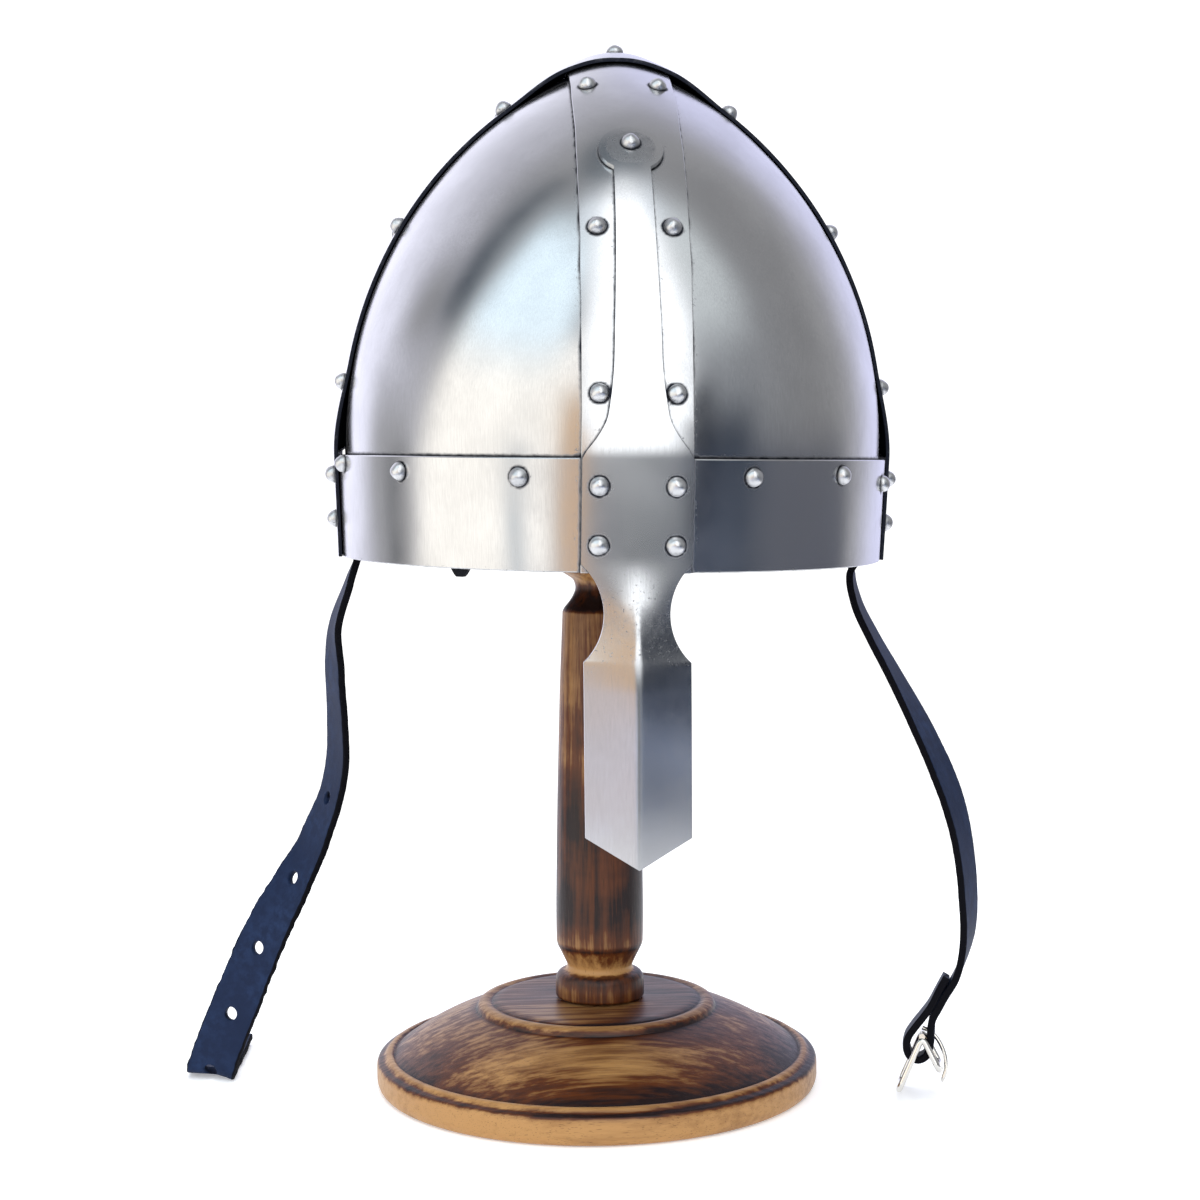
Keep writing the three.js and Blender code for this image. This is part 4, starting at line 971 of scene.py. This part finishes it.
def add_lining_tab(form, sizes, straps, material):
    """A tongue of leather inside the brow: the form over a few degrees, its end narrowed and rounded."""
    rows = np.linspace(-straps.tab_drop, STRAP_TUCK, 40)[None, :]
    narrow = np.sqrt(np.clip((rows + straps.tab_drop * 1.15) / (straps.tab_drop * 1.4), 0, 1))
    across = np.linspace(-1, 1, 15)[:, None] * straps.tab_width / 2 / form.half
    turns = LINING_TURN + across * narrow
    inward = -(sizes.sheet + 2 * sizes.clearance)
    outer = form.point(rows + 0 * turns, turns, inward)
    inner = form.point(rows + 0 * turns, turns, inward - 2 * MM)
    piece = sheet_piece("lining_tongue", form.to_world(outer), form.to_world(inner), material, bevel=0.5 * MM)
    point_values(piece, "edge", np.zeros(outer.shape[0] * outer.shape[1] * 2))
    dress(piece, "lining_leather", "lining_tab")


# Wood

def turned_piece(name, rows, radius, height, sides, material, dark):
    """A turned body from its profile table: the corners eased, closed at the middle by flat ends. burn
    follows the profile, and grows with the cosine towards the dark side, as painted shade."""
    table = np.array(rows, float)
    corners = np.concatenate([table[:, :1] * radius, table[:, 1:2] * height, table[:, 3:] * MM], 1)
    trims = table[:, 2] * MM
    path = eased(corners, trims)
    path = path[np.concatenate([[True], np.linalg.norm(np.diff(path[:, :2], axis=0), axis=1) > 1e-6])]
    gaps = np.linalg.norm(np.diff(path[:, :2], axis=0), axis=1)
    run = np.concatenate([[0], np.cumsum(gaps)])
    dense = np.union1d(run, np.linspace(0, run[-1], 160))
    fine = np.stack([np.interp(dense, run, column) for column in path.T], -1)
    sections = turned_sections(fine[:, :2], sides)
    piece = swept(name, sections, material, sharp=40)
    burn = fine[:, 2:] / MM
    turn = np.linspace(0, 2 * np.pi, sides, endpoint=False)
    # Painted shade: the wood is darker on the side turned from the light.
    darker = dark[1] * np.cos(turn - dark[0]) * 4 * burn * (1 - burn)
    point_values(piece, "burn", burn + darker)
    return piece


def add_stand(form, sizes, stand, base_wood, post_wood):
    """The base and the post are turned from their tables. The block under the crown is the form, one
    sheet inward, turned and stretched with it."""
    base = turned_piece("base_turned", BASE_PROFILE, stand.base_radius, stand.base_height, 220, base_wood,
                        BASE_PAINTED_SHADE)
    dress(base, "stand_wood", "stand_base")
    low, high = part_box("stand_post")
    rise = sizes.brim_height - stand.base_height
    rows = [*POST_PROFILE[:-1], (0.690, (high.z - low.z - 0.3 * MM) / rise, 0.4, 0.6)]
    post = turned_piece("post_turned", rows, stand.post_radius, rise, 96, post_wood, POST_PAINTED_SHADE)
    seat = Matrix.Translation((stand.post_offset, 0, low.z + stand.post_radius * math.sin(stand.post_lean)))
    post.data.transform(seat @ Matrix.Rotation(stand.post_lean, 4, "Y"))
    dress(post, "stand_wood", "stand_post")
    inset = sizes.sheet + sizes.clearance
    s = np.linspace(form.slope, form.crest, 400)
    x, z, tilt = form.arch(s)
    x, z = x - inset * np.cos(tilt), z - inset * np.sin(tilt)
    near = (x < stand.head_radius * 0.97) & (x > 0.5 * MM)
    x, z = x[near][::6], z[near][::6]
    top = form.arch(form.crest)[1] - inset
    floor = top - stand.head_height
    shoulder = z[0] - (stand.head_radius - x[0]) * 0.7
    side = [[0.5 * MM, floor], [stand.head_radius * 0.9, floor],
            [stand.head_radius, floor + stand.head_radius * 0.12], [stand.head_radius, shoulder]]
    profile = np.concatenate([side, np.stack([x, z], -1), [[0.5 * MM, top]]])
    sections = turned_sections(profile, 64) * [1, form.stretch, 1]
    block = swept("crown_block", form.to_world(sections), post_wood, sharp=40)
    point_values(block, "burn", np.full(sections.shape[:2], 0.2))
    dress(block, "stand_wood", "stand_head")


# Materials

def feed(tree, node, inputs):
    """The node, each of whose given inputs takes a value or is linked to a socket."""
    for key, value in inputs.items():
        if isinstance(value, bpy.types.NodeSocket):
            tree.links.new(value, node.inputs[key])
        else:
            node.inputs[key].default_value = value
    return node


def add_node(tree, kind, inputs, **settings):
    """A new node with its settings and inputs."""
    node = tree.nodes.new(kind)
    for key, value in settings.items():
        setattr(node, key, value)
    return feed(tree, node, inputs)


def maths(tree, operation, *values, clamp=False):
    """The result of a mathematical operation on values or sockets."""
    return add_node(tree, "ShaderNodeMath", dict(enumerate(values)), operation=operation,
                    use_clamp=clamp).outputs[0]


def mixed(tree, factor, first, second):
    """A mix of two colours."""
    first, second = (tone if isinstance(tone, bpy.types.NodeSocket) else (*tone, 1.0)[:4]
                     for tone in (first, second))
    return add_node(tree, "ShaderNodeMix", {0: factor, 6: first, 7: second}, data_type="RGBA").outputs[2]


def colour_ramp(tree, factor, stops, interpolation="LINEAR"):
    """Colours at their places from 0 to 1, and mixed between them."""
    node = add_node(tree, "ShaderNodeValToRGB", {0: factor})
    node.color_ramp.interpolation = interpolation
    elements = node.color_ramp.elements
    for place, tone in stops[1:-1]:
        elements.new(place).color = (*tone, 1)
    for element, (place, tone) in ((elements[0], stops[0]), (elements[len(stops) - 1], stops[-1])):
        element.position, element.color = place, (*tone, 1)
    return node.outputs[0]


def ranged(tree, value, low, high, to_low=0.0, to_high=1.0):
    """A value carried smoothly from one range to another, and held at its ends."""
    return add_node(tree, "ShaderNodeMapRange", {"Value": value, "From Min": low, "From Max": high,
                    "To Min": to_low, "To Max": to_high}, interpolation_type="SMOOTHSTEP").outputs[0]


def noise(tree, vector, scale, detail=4.0, rough=0.55, stretch=(1, 1, 1)):
    """Noise from 0 to 1 on a stretched vector."""
    vector = add_node(tree, "ShaderNodeMapping", {"Vector": vector, "Scale": stretch}).outputs[0]
    return add_node(tree, "ShaderNodeTexNoise", {"Vector": vector, "Scale": scale, "Detail": detail,
                    "Roughness": rough}).outputs[0]


def new_group(name, inputs, outputs):
    """An empty node group with the named inputs, given as (name, kind, default), and outputs."""
    group = bpy.data.node_groups.new(name, "ShaderNodeTree")
    for label, kind, default in inputs:
        socket = group.interface.new_socket(label, in_out="INPUT", socket_type=kind)
        if default is not None:
            socket.default_value = default
    for label, kind in outputs:
        group.interface.new_socket(label, in_out="OUTPUT", socket_type=kind)
    start, end = group.nodes.new("NodeGroupInput"), group.nodes.new("NodeGroupOutput")
    return group, start.outputs, end.inputs


def brushed_group():
    """Fine lines of the polishing wheel and broad cloudy patches, on a stretched vector."""
    group, given, result = new_group("brushed_metal", [
        ("Vector", "NodeSocketVector", None), ("Lines", "NodeSocketVector", (1.0, 1.0, 0.06))],
        [("Line", "NodeSocketFloat"), ("Cloud", "NodeSocketFloat"), ("Speck", "NodeSocketFloat")])
    stretched = add_node(group, "ShaderNodeVectorMath", {0: given["Vector"], 1: given["Lines"]},
                         operation="MULTIPLY").outputs[0]
    group.links.new(noise(group, stretched, 2600.0, 3.0, 0.7), result["Line"])
    group.links.new(noise(group, given["Vector"], 26.0, 5.0, 0.6), result["Cloud"])
    fine = noise(group, given["Vector"], 900.0, 2.0, 0.6)
    group.links.new(ranged(group, fine, 0.60, 0.72), result["Speck"])
    return group


def patina_and_shade_group():
    """Dark patina and painted shade where the shade is strong, broken up by noise, with lone specks near it.
    """
    group, given, result = new_group("patina_and_shade", [
        ("Vector", "NodeSocketVector", None), ("Shade", "NodeSocketFloat", 0.0),
        ("Speck", "NodeSocketFloat", 0.0), ("Amount", "NodeSocketFloat", 1.0)],
        [("Mask", "NodeSocketFloat")])
    cloud = noise(group, given["Vector"], 320.0, 6.0, 0.7)
    broken = maths(group, "MULTIPLY_ADD", cloud, 0.5, -0.25)
    depth = maths(group, "ADD", given["Shade"], broken)
    solid = ranged(group, depth, 0.38, 0.95)
    lone = maths(group, "MULTIPLY", given["Speck"], ranged(group, given["Shade"], 0.04, 0.5))
    lone = maths(group, "MULTIPLY", lone, 0.6)
    mask = maths(group, "MAXIMUM", solid, lone)
    group.links.new(maths(group, "MULTIPLY", mask, given["Amount"], clamp=True), result["Mask"])
    return group


def wood_group():
    """Long streaks along the grain, a slow change of tone and short dark pores."""
    group, given, result = new_group("wood_grain", [
        ("Vector", "NodeSocketVector", None), ("Grain", "NodeSocketVector", (1.0, 12.0, 12.0))],
        [("Streak", "NodeSocketFloat"), ("Tone", "NodeSocketFloat"), ("Pore", "NodeSocketFloat")])
    grain = add_node(group, "ShaderNodeVectorMath", {0: given["Vector"], 1: given["Grain"]},
                     operation="MULTIPLY").outputs[0]
    group.links.new(noise(group, grain, 22.0, 8.0, 0.62), result["Streak"])
    tone = noise(group, given["Vector"], 13.0, 4.0, 0.55, stretch=(1, 2.5, 2.5))
    group.links.new(tone, result["Tone"])
    pores = noise(group, grain, 150.0, 2.0, 0.5)
    group.links.new(ranged(group, pores, 0.60, 0.70), result["Pore"])
    return group


def shader(name):
    """A new material: its tree, its Principled shader and the object coordinates."""
    material = bpy.data.materials.new(name)
    material.use_nodes = True
    tree = material.node_tree
    principled = tree.nodes["Principled BSDF"]
    return material, tree, principled, tree.nodes.new("ShaderNodeTexCoord").outputs["Object"]


def attribute(tree, name):
    """A number that the piece holds on its points."""
    return add_node(tree, "ShaderNodeAttribute", {}, attribute_name=name).outputs["Fac"]


def relief(tree, height, strength, distance):
    """The normal of a surface with fine relief of this height."""
    inputs = {"Height": height, "Strength": strength, "Distance": distance}
    return add_node(tree, "ShaderNodeBump", inputs).outputs[0]


def group_node(tree, group, inputs):
    """A placed node group, by its outputs."""
    return add_node(tree, "ShaderNodeGroup", inputs, node_tree=group).outputs


def steel(name, bright, dull, patina_and_shade, roughness, lines, amount, groups):
    """Satin steel: brushed lines in its roughness and relief, cloudy tone, patina and painted shade in
    corners.
    """
    material, tree, principled, vector = shader(name)
    brushed = group_node(tree, groups["brushed"], {"Vector": vector, "Lines": lines})
    dark = group_node(tree, groups["patina_and_shade"], {"Vector": vector, "Shade": attribute(tree, "shade"),
                                               "Speck": brushed["Speck"], "Amount": amount})["Mask"]
    haze = maths(tree, "ADD", brushed["Cloud"], maths(tree, "MULTIPLY", brushed["Line"], 0.6))
    tone = mixed(tree, ranged(tree, haze, 0.55, 1.05, 0.0, 0.5), bright, dull)
    rough = ranged(tree, brushed["Line"], 0.2, 0.8, roughness - 0.02, roughness + 0.02)
    rough = maths(tree, "ADD", rough, ranged(tree, brushed["Cloud"], 0.3, 0.7, -0.02, 0.04))
    height = maths(tree, "SUBTRACT", brushed["Line"], maths(tree, "MULTIPLY", dark, 2.0))
    feed(tree, principled, {
        "Base Color": mixed(tree, dark, tone, patina_and_shade), "Metallic": 1.0,
        "Roughness": maths(tree, "MULTIPLY_ADD", dark, 0.3, rough),
        "Normal": relief(tree, height, 0.12, 0.00001)})
    return material


def leather(name, face, worn, edge):
    """Dyed leather: mottled face, fine grain relief, and dark matt cut edges."""
    material, tree, principled, vector = shader(name)
    cut = attribute(tree, "edge")
    mottle = noise(tree, vector, 260.0, 5.0, 0.65)
    broad = noise(tree, vector, 45.0, 3.0, 0.5)
    blotch = maths(tree, "MULTIPLY", ranged(tree, mottle, 0.35, 0.7), ranged(tree, broad, 0.25, 0.75))
    grain = noise(tree, vector, 1500.0, 3.0, 0.6)
    fibre = maths(tree, "MULTIPLY", noise(tree, vector, 700.0, 3.0, 0.7), maths(tree, "MULTIPLY", cut, 5.0))
    height = maths(tree, "ADD", maths(tree, "ADD", grain, maths(tree, "MULTIPLY", mottle, 2.0)), fibre)
    feed(tree, principled, {
        "Base Color": mixed(tree, cut, mixed(tree, blotch, face, worn), edge),
        "Roughness": ranged(tree, cut, 0.1, 0.9, 0.60, 0.95), "Specular IOR Level": 0.15,
        "Normal": relief(tree, height, 0.6, 0.00008)})
    return material


def wood(name, pale, brown, burnt, grain, groups):
    """Stained turned wood: pale where bare, brown where stained, near black where burnt, with streaks
    along the grain under a thin varnish."""
    material, tree, principled, vector = shader(name)
    figure = group_node(tree, groups["wood"], {"Vector": vector, "Grain": grain})
    burn = attribute(tree, "burn")
    streak = ranged(tree, figure["Streak"], 0.32, 0.68, -0.22, 0.22)
    tone = ranged(tree, figure["Tone"], 0.3, 0.7, -0.27, 0.27)
    uneven = maths(tree, "ADD", streak, tone)
    swing = maths(tree, "MULTIPLY", uneven, ranged(tree, burn, 0.0, 0.5, 0.35, 1.0))
    depth = maths(tree, "ADD", burn, swing, clamp=True)
    stain = colour_ramp(tree, depth, ((0.0, pale), (0.5, brown), (0.98, burnt)))
    dark = tuple(0.25 * channel for channel in brown)
    pore = maths(tree, "MULTIPLY", figure["Pore"], 0.5)
    feed(tree, principled, {
        "Base Color": mixed(tree, pore, stain, dark),
        "Roughness": ranged(tree, figure["Streak"], 0.3, 0.7, 0.38, 0.5), "Specular IOR Level": 0.3,
        "Coat Weight": 0.12, "Coat Roughness": 0.25,
        "Normal": relief(tree, maths(tree, "SUBTRACT", figure["Streak"], pore), 0.4, 0.0002)})
    return material


def make_materials(finishes):
    """Every material, by name."""
    groups = {"brushed": brushed_group(), "patina_and_shade": patina_and_shade_group(), "wood": wood_group()}
    metal = tuple(finishes.steel), tuple(finishes.steel_dull), tuple(finishes.patina_and_shade)
    nickel = tuple(finishes.buckle), tuple(finishes.buckle), tuple(finishes.patina_and_shade)
    hide = tuple(finishes.leather), tuple(finishes.leather_worn), tuple(finishes.leather_edge)
    timber = tuple(finishes.wood_pale), tuple(finishes.wood_brown), tuple(finishes.wood_burnt)
    return {
        "plate": steel("satin_plate_steel", *metal, 0.20, (1.0, 1.0, 0.05), 1.0, groups),
        "band": steel("satin_band_steel", *metal, 0.20, (1.0, 1.0, 0.05), 1.0, groups),
        "nasal": steel("satin_nasal_steel", *metal, 0.20, (1.0, 1.0, 0.05), 1.0, groups),
        "rivet": steel("hammered_rivet_steel", *metal, 0.34, (1.0, 1.0, 1.0), 1.0, groups),
        "buckle": steel("polished_buckle_wire", *nickel, 0.16, (1.0, 1.0, 1.0), 0.3, groups),
        "leather": leather("dyed_strap_leather", *hide),
        "lining": leather("dark_lining_leather", hide[2], hide[0], hide[2]),
        "base": wood("stained_base_wood", *timber, (1.0, 20.0, 20.0), groups),
        "post": wood("stained_post_wood", *timber, (18.0, 18.0, 0.9), groups),
    }


def material_named(name):
    """The material of that key, made with all the others at the first call."""
    if not MATERIALS:
        MATERIALS.update(make_materials(bpy.context.scene.helmet_finishes))
    return MATERIALS[name]


MATERIALS = {}


# Studio

FLOOR_RADIUS = 0.50
FLOOR_GLOW = (0.96, 0.97, 1.0, 1.0)
TOP_LIGHT_PLACE, TOP_LIGHT_SIZE = (0.0, 0.35, 1.5), 1.6


def camera_place(studio):
    """The camera's matrix: out from the stand's axis along the azimuth, looking back and down."""
    sideways, forward = math.sin(studio.azimuth), -math.cos(studio.azimuth)
    spot = (studio.distance * sideways, studio.distance * forward, studio.height)
    look = Matrix.Rotation(studio.azimuth, 4, "Z") @ Matrix.Rotation(math.pi / 2 - studio.pitch, 4, "X")
    return Matrix.Translation(spot) @ look @ Matrix.Rotation(-studio.roll, 4, "Z")


# Cards of the studio: azimuth from the front to the right, elevation, half width, half height and
# softness in degrees, slant of the azimuth over the elevation, and colour
CARDS = (
    (46.0, 50.0, 20.0, 20.0, 12.0, 0.0, (0.92, 0.98, 1.00)),
    (156.0, 15.0, 20.0, 40.0, 14.0, 0.0, (0.93, 0.94, 1.24)),
    (88.0, -9.0, 28.0, 7.0, 6.0, 0.0, (0.13, 0.14, 0.18)),
    (43.0, -5.0, 20.0, 13.0, 8.0, 0.0, (0.055, 0.070, 0.100)),
    (-118.0, -2.0, 14.0, 10.0, 8.0, 0.0, (0.50, 0.50, 0.52)),
    (-61.0, 4.0, 35.0, 27.0, 7.0, 0.5, (1.75, 1.68, 1.56)),
    (-50.0, 44.0, 26.0, 20.0, 9.0, 0.5, (1.40, 1.65, 1.80)),
    (-112.0, 26.0, 8.0, 8.0, 8.0, 0.4, (0.34, 0.34, 0.34)),
    (-92.0, 50.0, 7.0, 25.0, 6.0, 0.15, (0.03, 0.05, 0.08)),
    (4.0, 72.0, 46.0, 7.0, 5.0, 0.0, (1.20, 1.30, 1.40)),
    (0.0, 90.0, 360.0, 9.0, 4.0, 0.0, (0.08, 0.11, 0.14)),
    (7.5, 39.0, 22.0, 42.5, 5.0, 0.0, (2.20, 2.25, 2.30)),
    (2.0, -11.0, 21.0, 9.0, 4.0, 0.0, (0.19, 0.20, 0.21)),
    (-22.0, 0.0, 8.0, 14.0, 4.0, 0.0, (0.90, 0.60, 0.36)),
    (32.0, 1.0, 9.0, 16.0, 4.0, 0.0, (0.006, 0.012, 0.028)),
    (-30.0, -21.0, 24.0, 7.0, 4.0, 0.0, (0.95, 1.04, 1.36)),
    (36.0, -23.0, 24.0, 6.0, 5.0, 0.0, (0.55, 0.68, 1.05)),
    (-110.0, -7.0, 6.0, 5.0, 4.0, 0.0, (0.04, 0.05, 0.06)),
    (-50.0, -7.0, 4.0, 5.0, 4.0, 0.0, (0.45, 0.55, 0.64)),
)

# What the camera sees past the floor
WHITE_BEYOND = (1.3, 1.3, 1.3)

# The walls between the cards: place from -1 at the back to 1 at the front, colour
SPLIT_AZIMUTH = 15.0
SPLIT = (
    (-1.00, (1.40, 1.40, 1.62)), (-0.84, (1.28, 1.28, 1.48)), (-0.70, (1.02, 1.02, 1.16)),
    (-0.45, (0.72, 0.72, 0.80)), (-0.30, (0.54, 0.54, 0.58)), (-0.15, (0.44, 0.44, 0.45)),
    (0.10, (0.36, 0.36, 0.37)), (1.00, (0.38, 0.40, 0.43)),
)


def make_world(studio):
    """The studio as light from every direction: walls from white at the back to grey at the front, with
    soft cards over them. What the camera sees past the floor is white."""
    world = bpy.data.worlds.new("studio")
    world.use_nodes = True
    tree = world.node_tree
    tree.nodes.clear()
    direction = tree.nodes.new("ShaderNodeTexCoord").outputs["Generated"]
    x, y, z = add_node(tree, "ShaderNodeSeparateXYZ", {0: direction}).outputs
    degrees = 180 / math.pi
    azimuth = maths(tree, "MULTIPLY", maths(tree, "ARCTAN2", x, maths(tree, "MULTIPLY", y, -1.0)), degrees)
    elevation = maths(tree, "MULTIPLY", maths(tree, "ARCSINE", z), degrees)
    split = math.radians(SPLIT_AZIMUTH)
    across = add_node(tree, "ShaderNodeVectorMath", {0: direction, 1: (math.sin(split), -math.cos(split), 0)},
                      operation="DOT_PRODUCT").outputs["Value"]
    stops = [(place / 2 + 0.5, tone) for place, tone in SPLIT]
    light = colour_ramp(tree, maths(tree, "MULTIPLY_ADD", across, 0.5, 0.5), stops, "EASE")
    for centre, height, half_width, half_height, soft, slant, tone in CARDS:
        middle = maths(tree, "MULTIPLY", maths(tree, "SUBTRACT", elevation, height), slant)
        middle = maths(tree, "ADD", middle, centre)
        off = [maths(tree, "ABSOLUTE", maths(tree, "SUBTRACT", value, place))
               for value, place in ((azimuth, middle), (elevation, height))]
        masks = [ranged(tree, value, half - soft, half + soft, 1.0, 0.0)
                 for value, half in zip(off, (half_width, half_height))]
        light = mixed(tree, maths(tree, "MULTIPLY", *masks), light, tone)
    seen = tree.nodes.new("ShaderNodeLightPath").outputs["Is Camera Ray"]
    background = add_node(tree, "ShaderNodeBackground", {
        "Color": mixed(tree, seen, light, WHITE_BEYOND), "Strength": studio.window})
    tree.links.new(background.outputs[0], tree.nodes.new("ShaderNodeOutputWorld").inputs[0])
    bpy.context.scene.world = world


def make_floor():
    """A round pale floor under the stand, a grid of radius and turn."""
    rings, sides = 12, 96
    radius = np.linspace(1 * MM, FLOOR_RADIUS, rings)[:, None]
    turn = np.linspace(0, 2 * np.pi, sides, endpoint=False)[None, :]
    grid = np.stack(np.broadcast_arrays(radius * np.cos(turn), radius * np.sin(turn), 0 * turn), -1)
    index = numbered(rings, sides)
    faces = [grid_quads(np.concatenate([index, index[:, :1]], 1)), index[:1]]
    material, tree, principled, vector = shader("white_floor")
    tone = ranged(tree, noise(tree, vector, 6.0, 2.0), 0.3, 0.7, 0.93, 0.95)
    grey = add_node(tree, "ShaderNodeCombineColor", {0: tone, 1: tone, 2: tone}).outputs[0]
    feed(tree, principled, {"Base Color": grey, "Roughness": 0.9, "Specular IOR Level": 0.0,
                            "Emission Color": FLOOR_GLOW, "Emission Strength": 0.32})
    make_piece("floor", grid.reshape(-1, 3), faces, material)


def make_top_light(studio):
    """A large soft light above, which only the floor, wood and leather see."""
    data = bpy.data.lights.new("top_light", "AREA")
    data.shape, data.size, data.energy = "DISK", TOP_LIGHT_SIZE, studio.top_light
    light = bpy.data.objects.new("top_light", data)
    light.matrix_world = Matrix.Translation(TOP_LIGHT_PLACE)
    light.visible_glossy = False
    light.visible_camera = False
    bpy.context.scene.collection.objects.link(light)


def make_camera(studio):
    """The camera at the photograph's place and angle."""
    data = bpy.data.cameras.new("camera")
    data.lens, data.sensor_width, data.shift_x = studio.lens, 36.0, studio.shift
    data.clip_start = 0.01
    camera = bpy.data.objects.new("camera", data)
    camera.matrix_world = camera_place(studio)
    bpy.context.scene.collection.objects.link(camera)
    bpy.context.scene.camera = camera


# Operators

class DomePlates(bpy.types.Operator):
    """Build the four fine dome plates."""
    bl_idname = "helmet.dome_plates"
    bl_label = "Dome plates"

    def execute(self, context):
        sizes = context.scene.helmet_sizes
        add_dome_plates(DomeForm(sizes), sizes, material_named("plate"))
        return {"FINISHED"}


class Bands(bpy.types.Operator):
    """Build the brow band and the two bands over the dome."""
    bl_idname = "helmet.bands"
    bl_label = "Bands"

    def execute(self, context):
        sizes = context.scene.helmet_sizes
        form = DomeForm(sizes)
        fore_aft, cross = helmet_bands(form, sizes)
        add_brow_band(form, sizes, material_named("band"))
        add_band("band_fore_aft", fore_aft, sizes, 61, material_named("band"), "fore_aft_band")
        add_band("band_cross", cross, sizes, 71, material_named("band"), "cross_band")
        return {"FINISHED"}


class Nasal(bpy.types.Operator):
    """Build the nasal guard."""
    bl_idname = "helmet.nasal"
    bl_label = "Nasal guard"

    def execute(self, context):
        sizes = context.scene.helmet_sizes
        form = DomeForm(sizes)
        add_nasal(form, sizes, helmet_bands(form, sizes)[0], material_named("nasal"))
        return {"FINISHED"}


class Rivets(bpy.types.Operator):
    """Build every rivet's head."""
    bl_idname = "helmet.rivets"
    bl_label = "Rivets"

    def execute(self, context):
        sizes = context.scene.helmet_sizes
        add_rivets(DomeForm(sizes), sizes, material_named("rivet"))
        return {"FINISHED"}


class Straps(bpy.types.Operator):
    """Build the two chin straps and the lining tab."""
    bl_idname = "helmet.straps"
    bl_label = "Chin straps"

    def execute(self, context):
        sizes, straps = context.scene.helmet_sizes, context.scene.helmet_straps
        form = DomeForm(sizes)
        add_left_strap(form, sizes, straps, material_named("leather"))
        add_right_strap(form, sizes, straps, material_named("leather"))
        add_lining_tab(form, sizes, straps, material_named("lining"))
        return {"FINISHED"}


class Buckle(bpy.types.Operator):
    """Build the bent wire buckle and its prong."""
    bl_idname = "helmet.buckle"
    bl_label = "Buckle"

    def execute(self, context):
        add_buckle(context.scene.helmet_sizes, context.scene.helmet_straps, material_named("buckle"))
        return {"FINISHED"}


class Stand(bpy.types.Operator):
    """Build the turned stand."""
    bl_idname = "helmet.stand"
    bl_label = "Stand"

    def execute(self, context):
        sizes = context.scene.helmet_sizes
        woods = material_named("base"), material_named("post")
        add_stand(DomeForm(sizes), sizes, context.scene.helmet_stand, *woods)
        return {"FINISHED"}


class Stage(bpy.types.Operator):
    """Set the floor, the light and the camera."""
    bl_idname = "helmet.stage"
    bl_label = "Stage"

    def execute(self, context):
        studio = context.scene.helmet_studio
        make_world(studio)
        make_floor()
        make_top_light(studio)
        make_camera(studio)
        context.scene.view_settings.view_transform = "Standard"
        return {"FINISHED"}


OPERATORS = (DomePlates, Bands, Nasal, Rivets, Straps, Buckle, Stand, Stage)


class HelmetPanel(bpy.types.Panel):
    """Lists the operators and the settings."""
    bl_idname = "VIEW3D_PT_helmet"
    bl_label = "Norse helmet"
    bl_space_type = "VIEW_3D"
    bl_region_type = "UI"
    bl_category = "Helmet"

    def draw(self, context):
        for operator in OPERATORS:
            self.layout.operator(operator.bl_idname)
        for group in SETTINGS:
            box = self.layout.box()
            for key in SETTINGS[group].__annotations__:
                box.prop(getattr(context.scene, group), key)


SETTINGS = {
    "helmet_sizes": HelmetSizes,
    "helmet_straps": StrapSizes,
    "helmet_stand": StandSizes,
    "helmet_finishes": Finishes,
    "helmet_studio": StudioSettings,
}


def register():
    """Registers the settings, the operators and the panel."""
    for name, group in SETTINGS.items():
        bpy.utils.register_class(group)
        setattr(bpy.types.Scene, name, bpy.props.PointerProperty(type=group))
    for item in (*OPERATORS, HelmetPanel):
        bpy.utils.register_class(item)


def unregister():
    """The way back from register."""
    for item in (HelmetPanel, *reversed(OPERATORS)):
        bpy.utils.unregister_class(item)
    for name, group in reversed(SETTINGS.items()):
        delattr(bpy.types.Scene, name)
        bpy.utils.unregister_class(group)


def main():
    """Registers the add-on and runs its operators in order."""
    register()
    for operator in OPERATORS:
        group, name = operator.bl_idname.split(".")
        getattr(getattr(bpy.ops, group), name)()


if __name__ == "__main__":
    main()
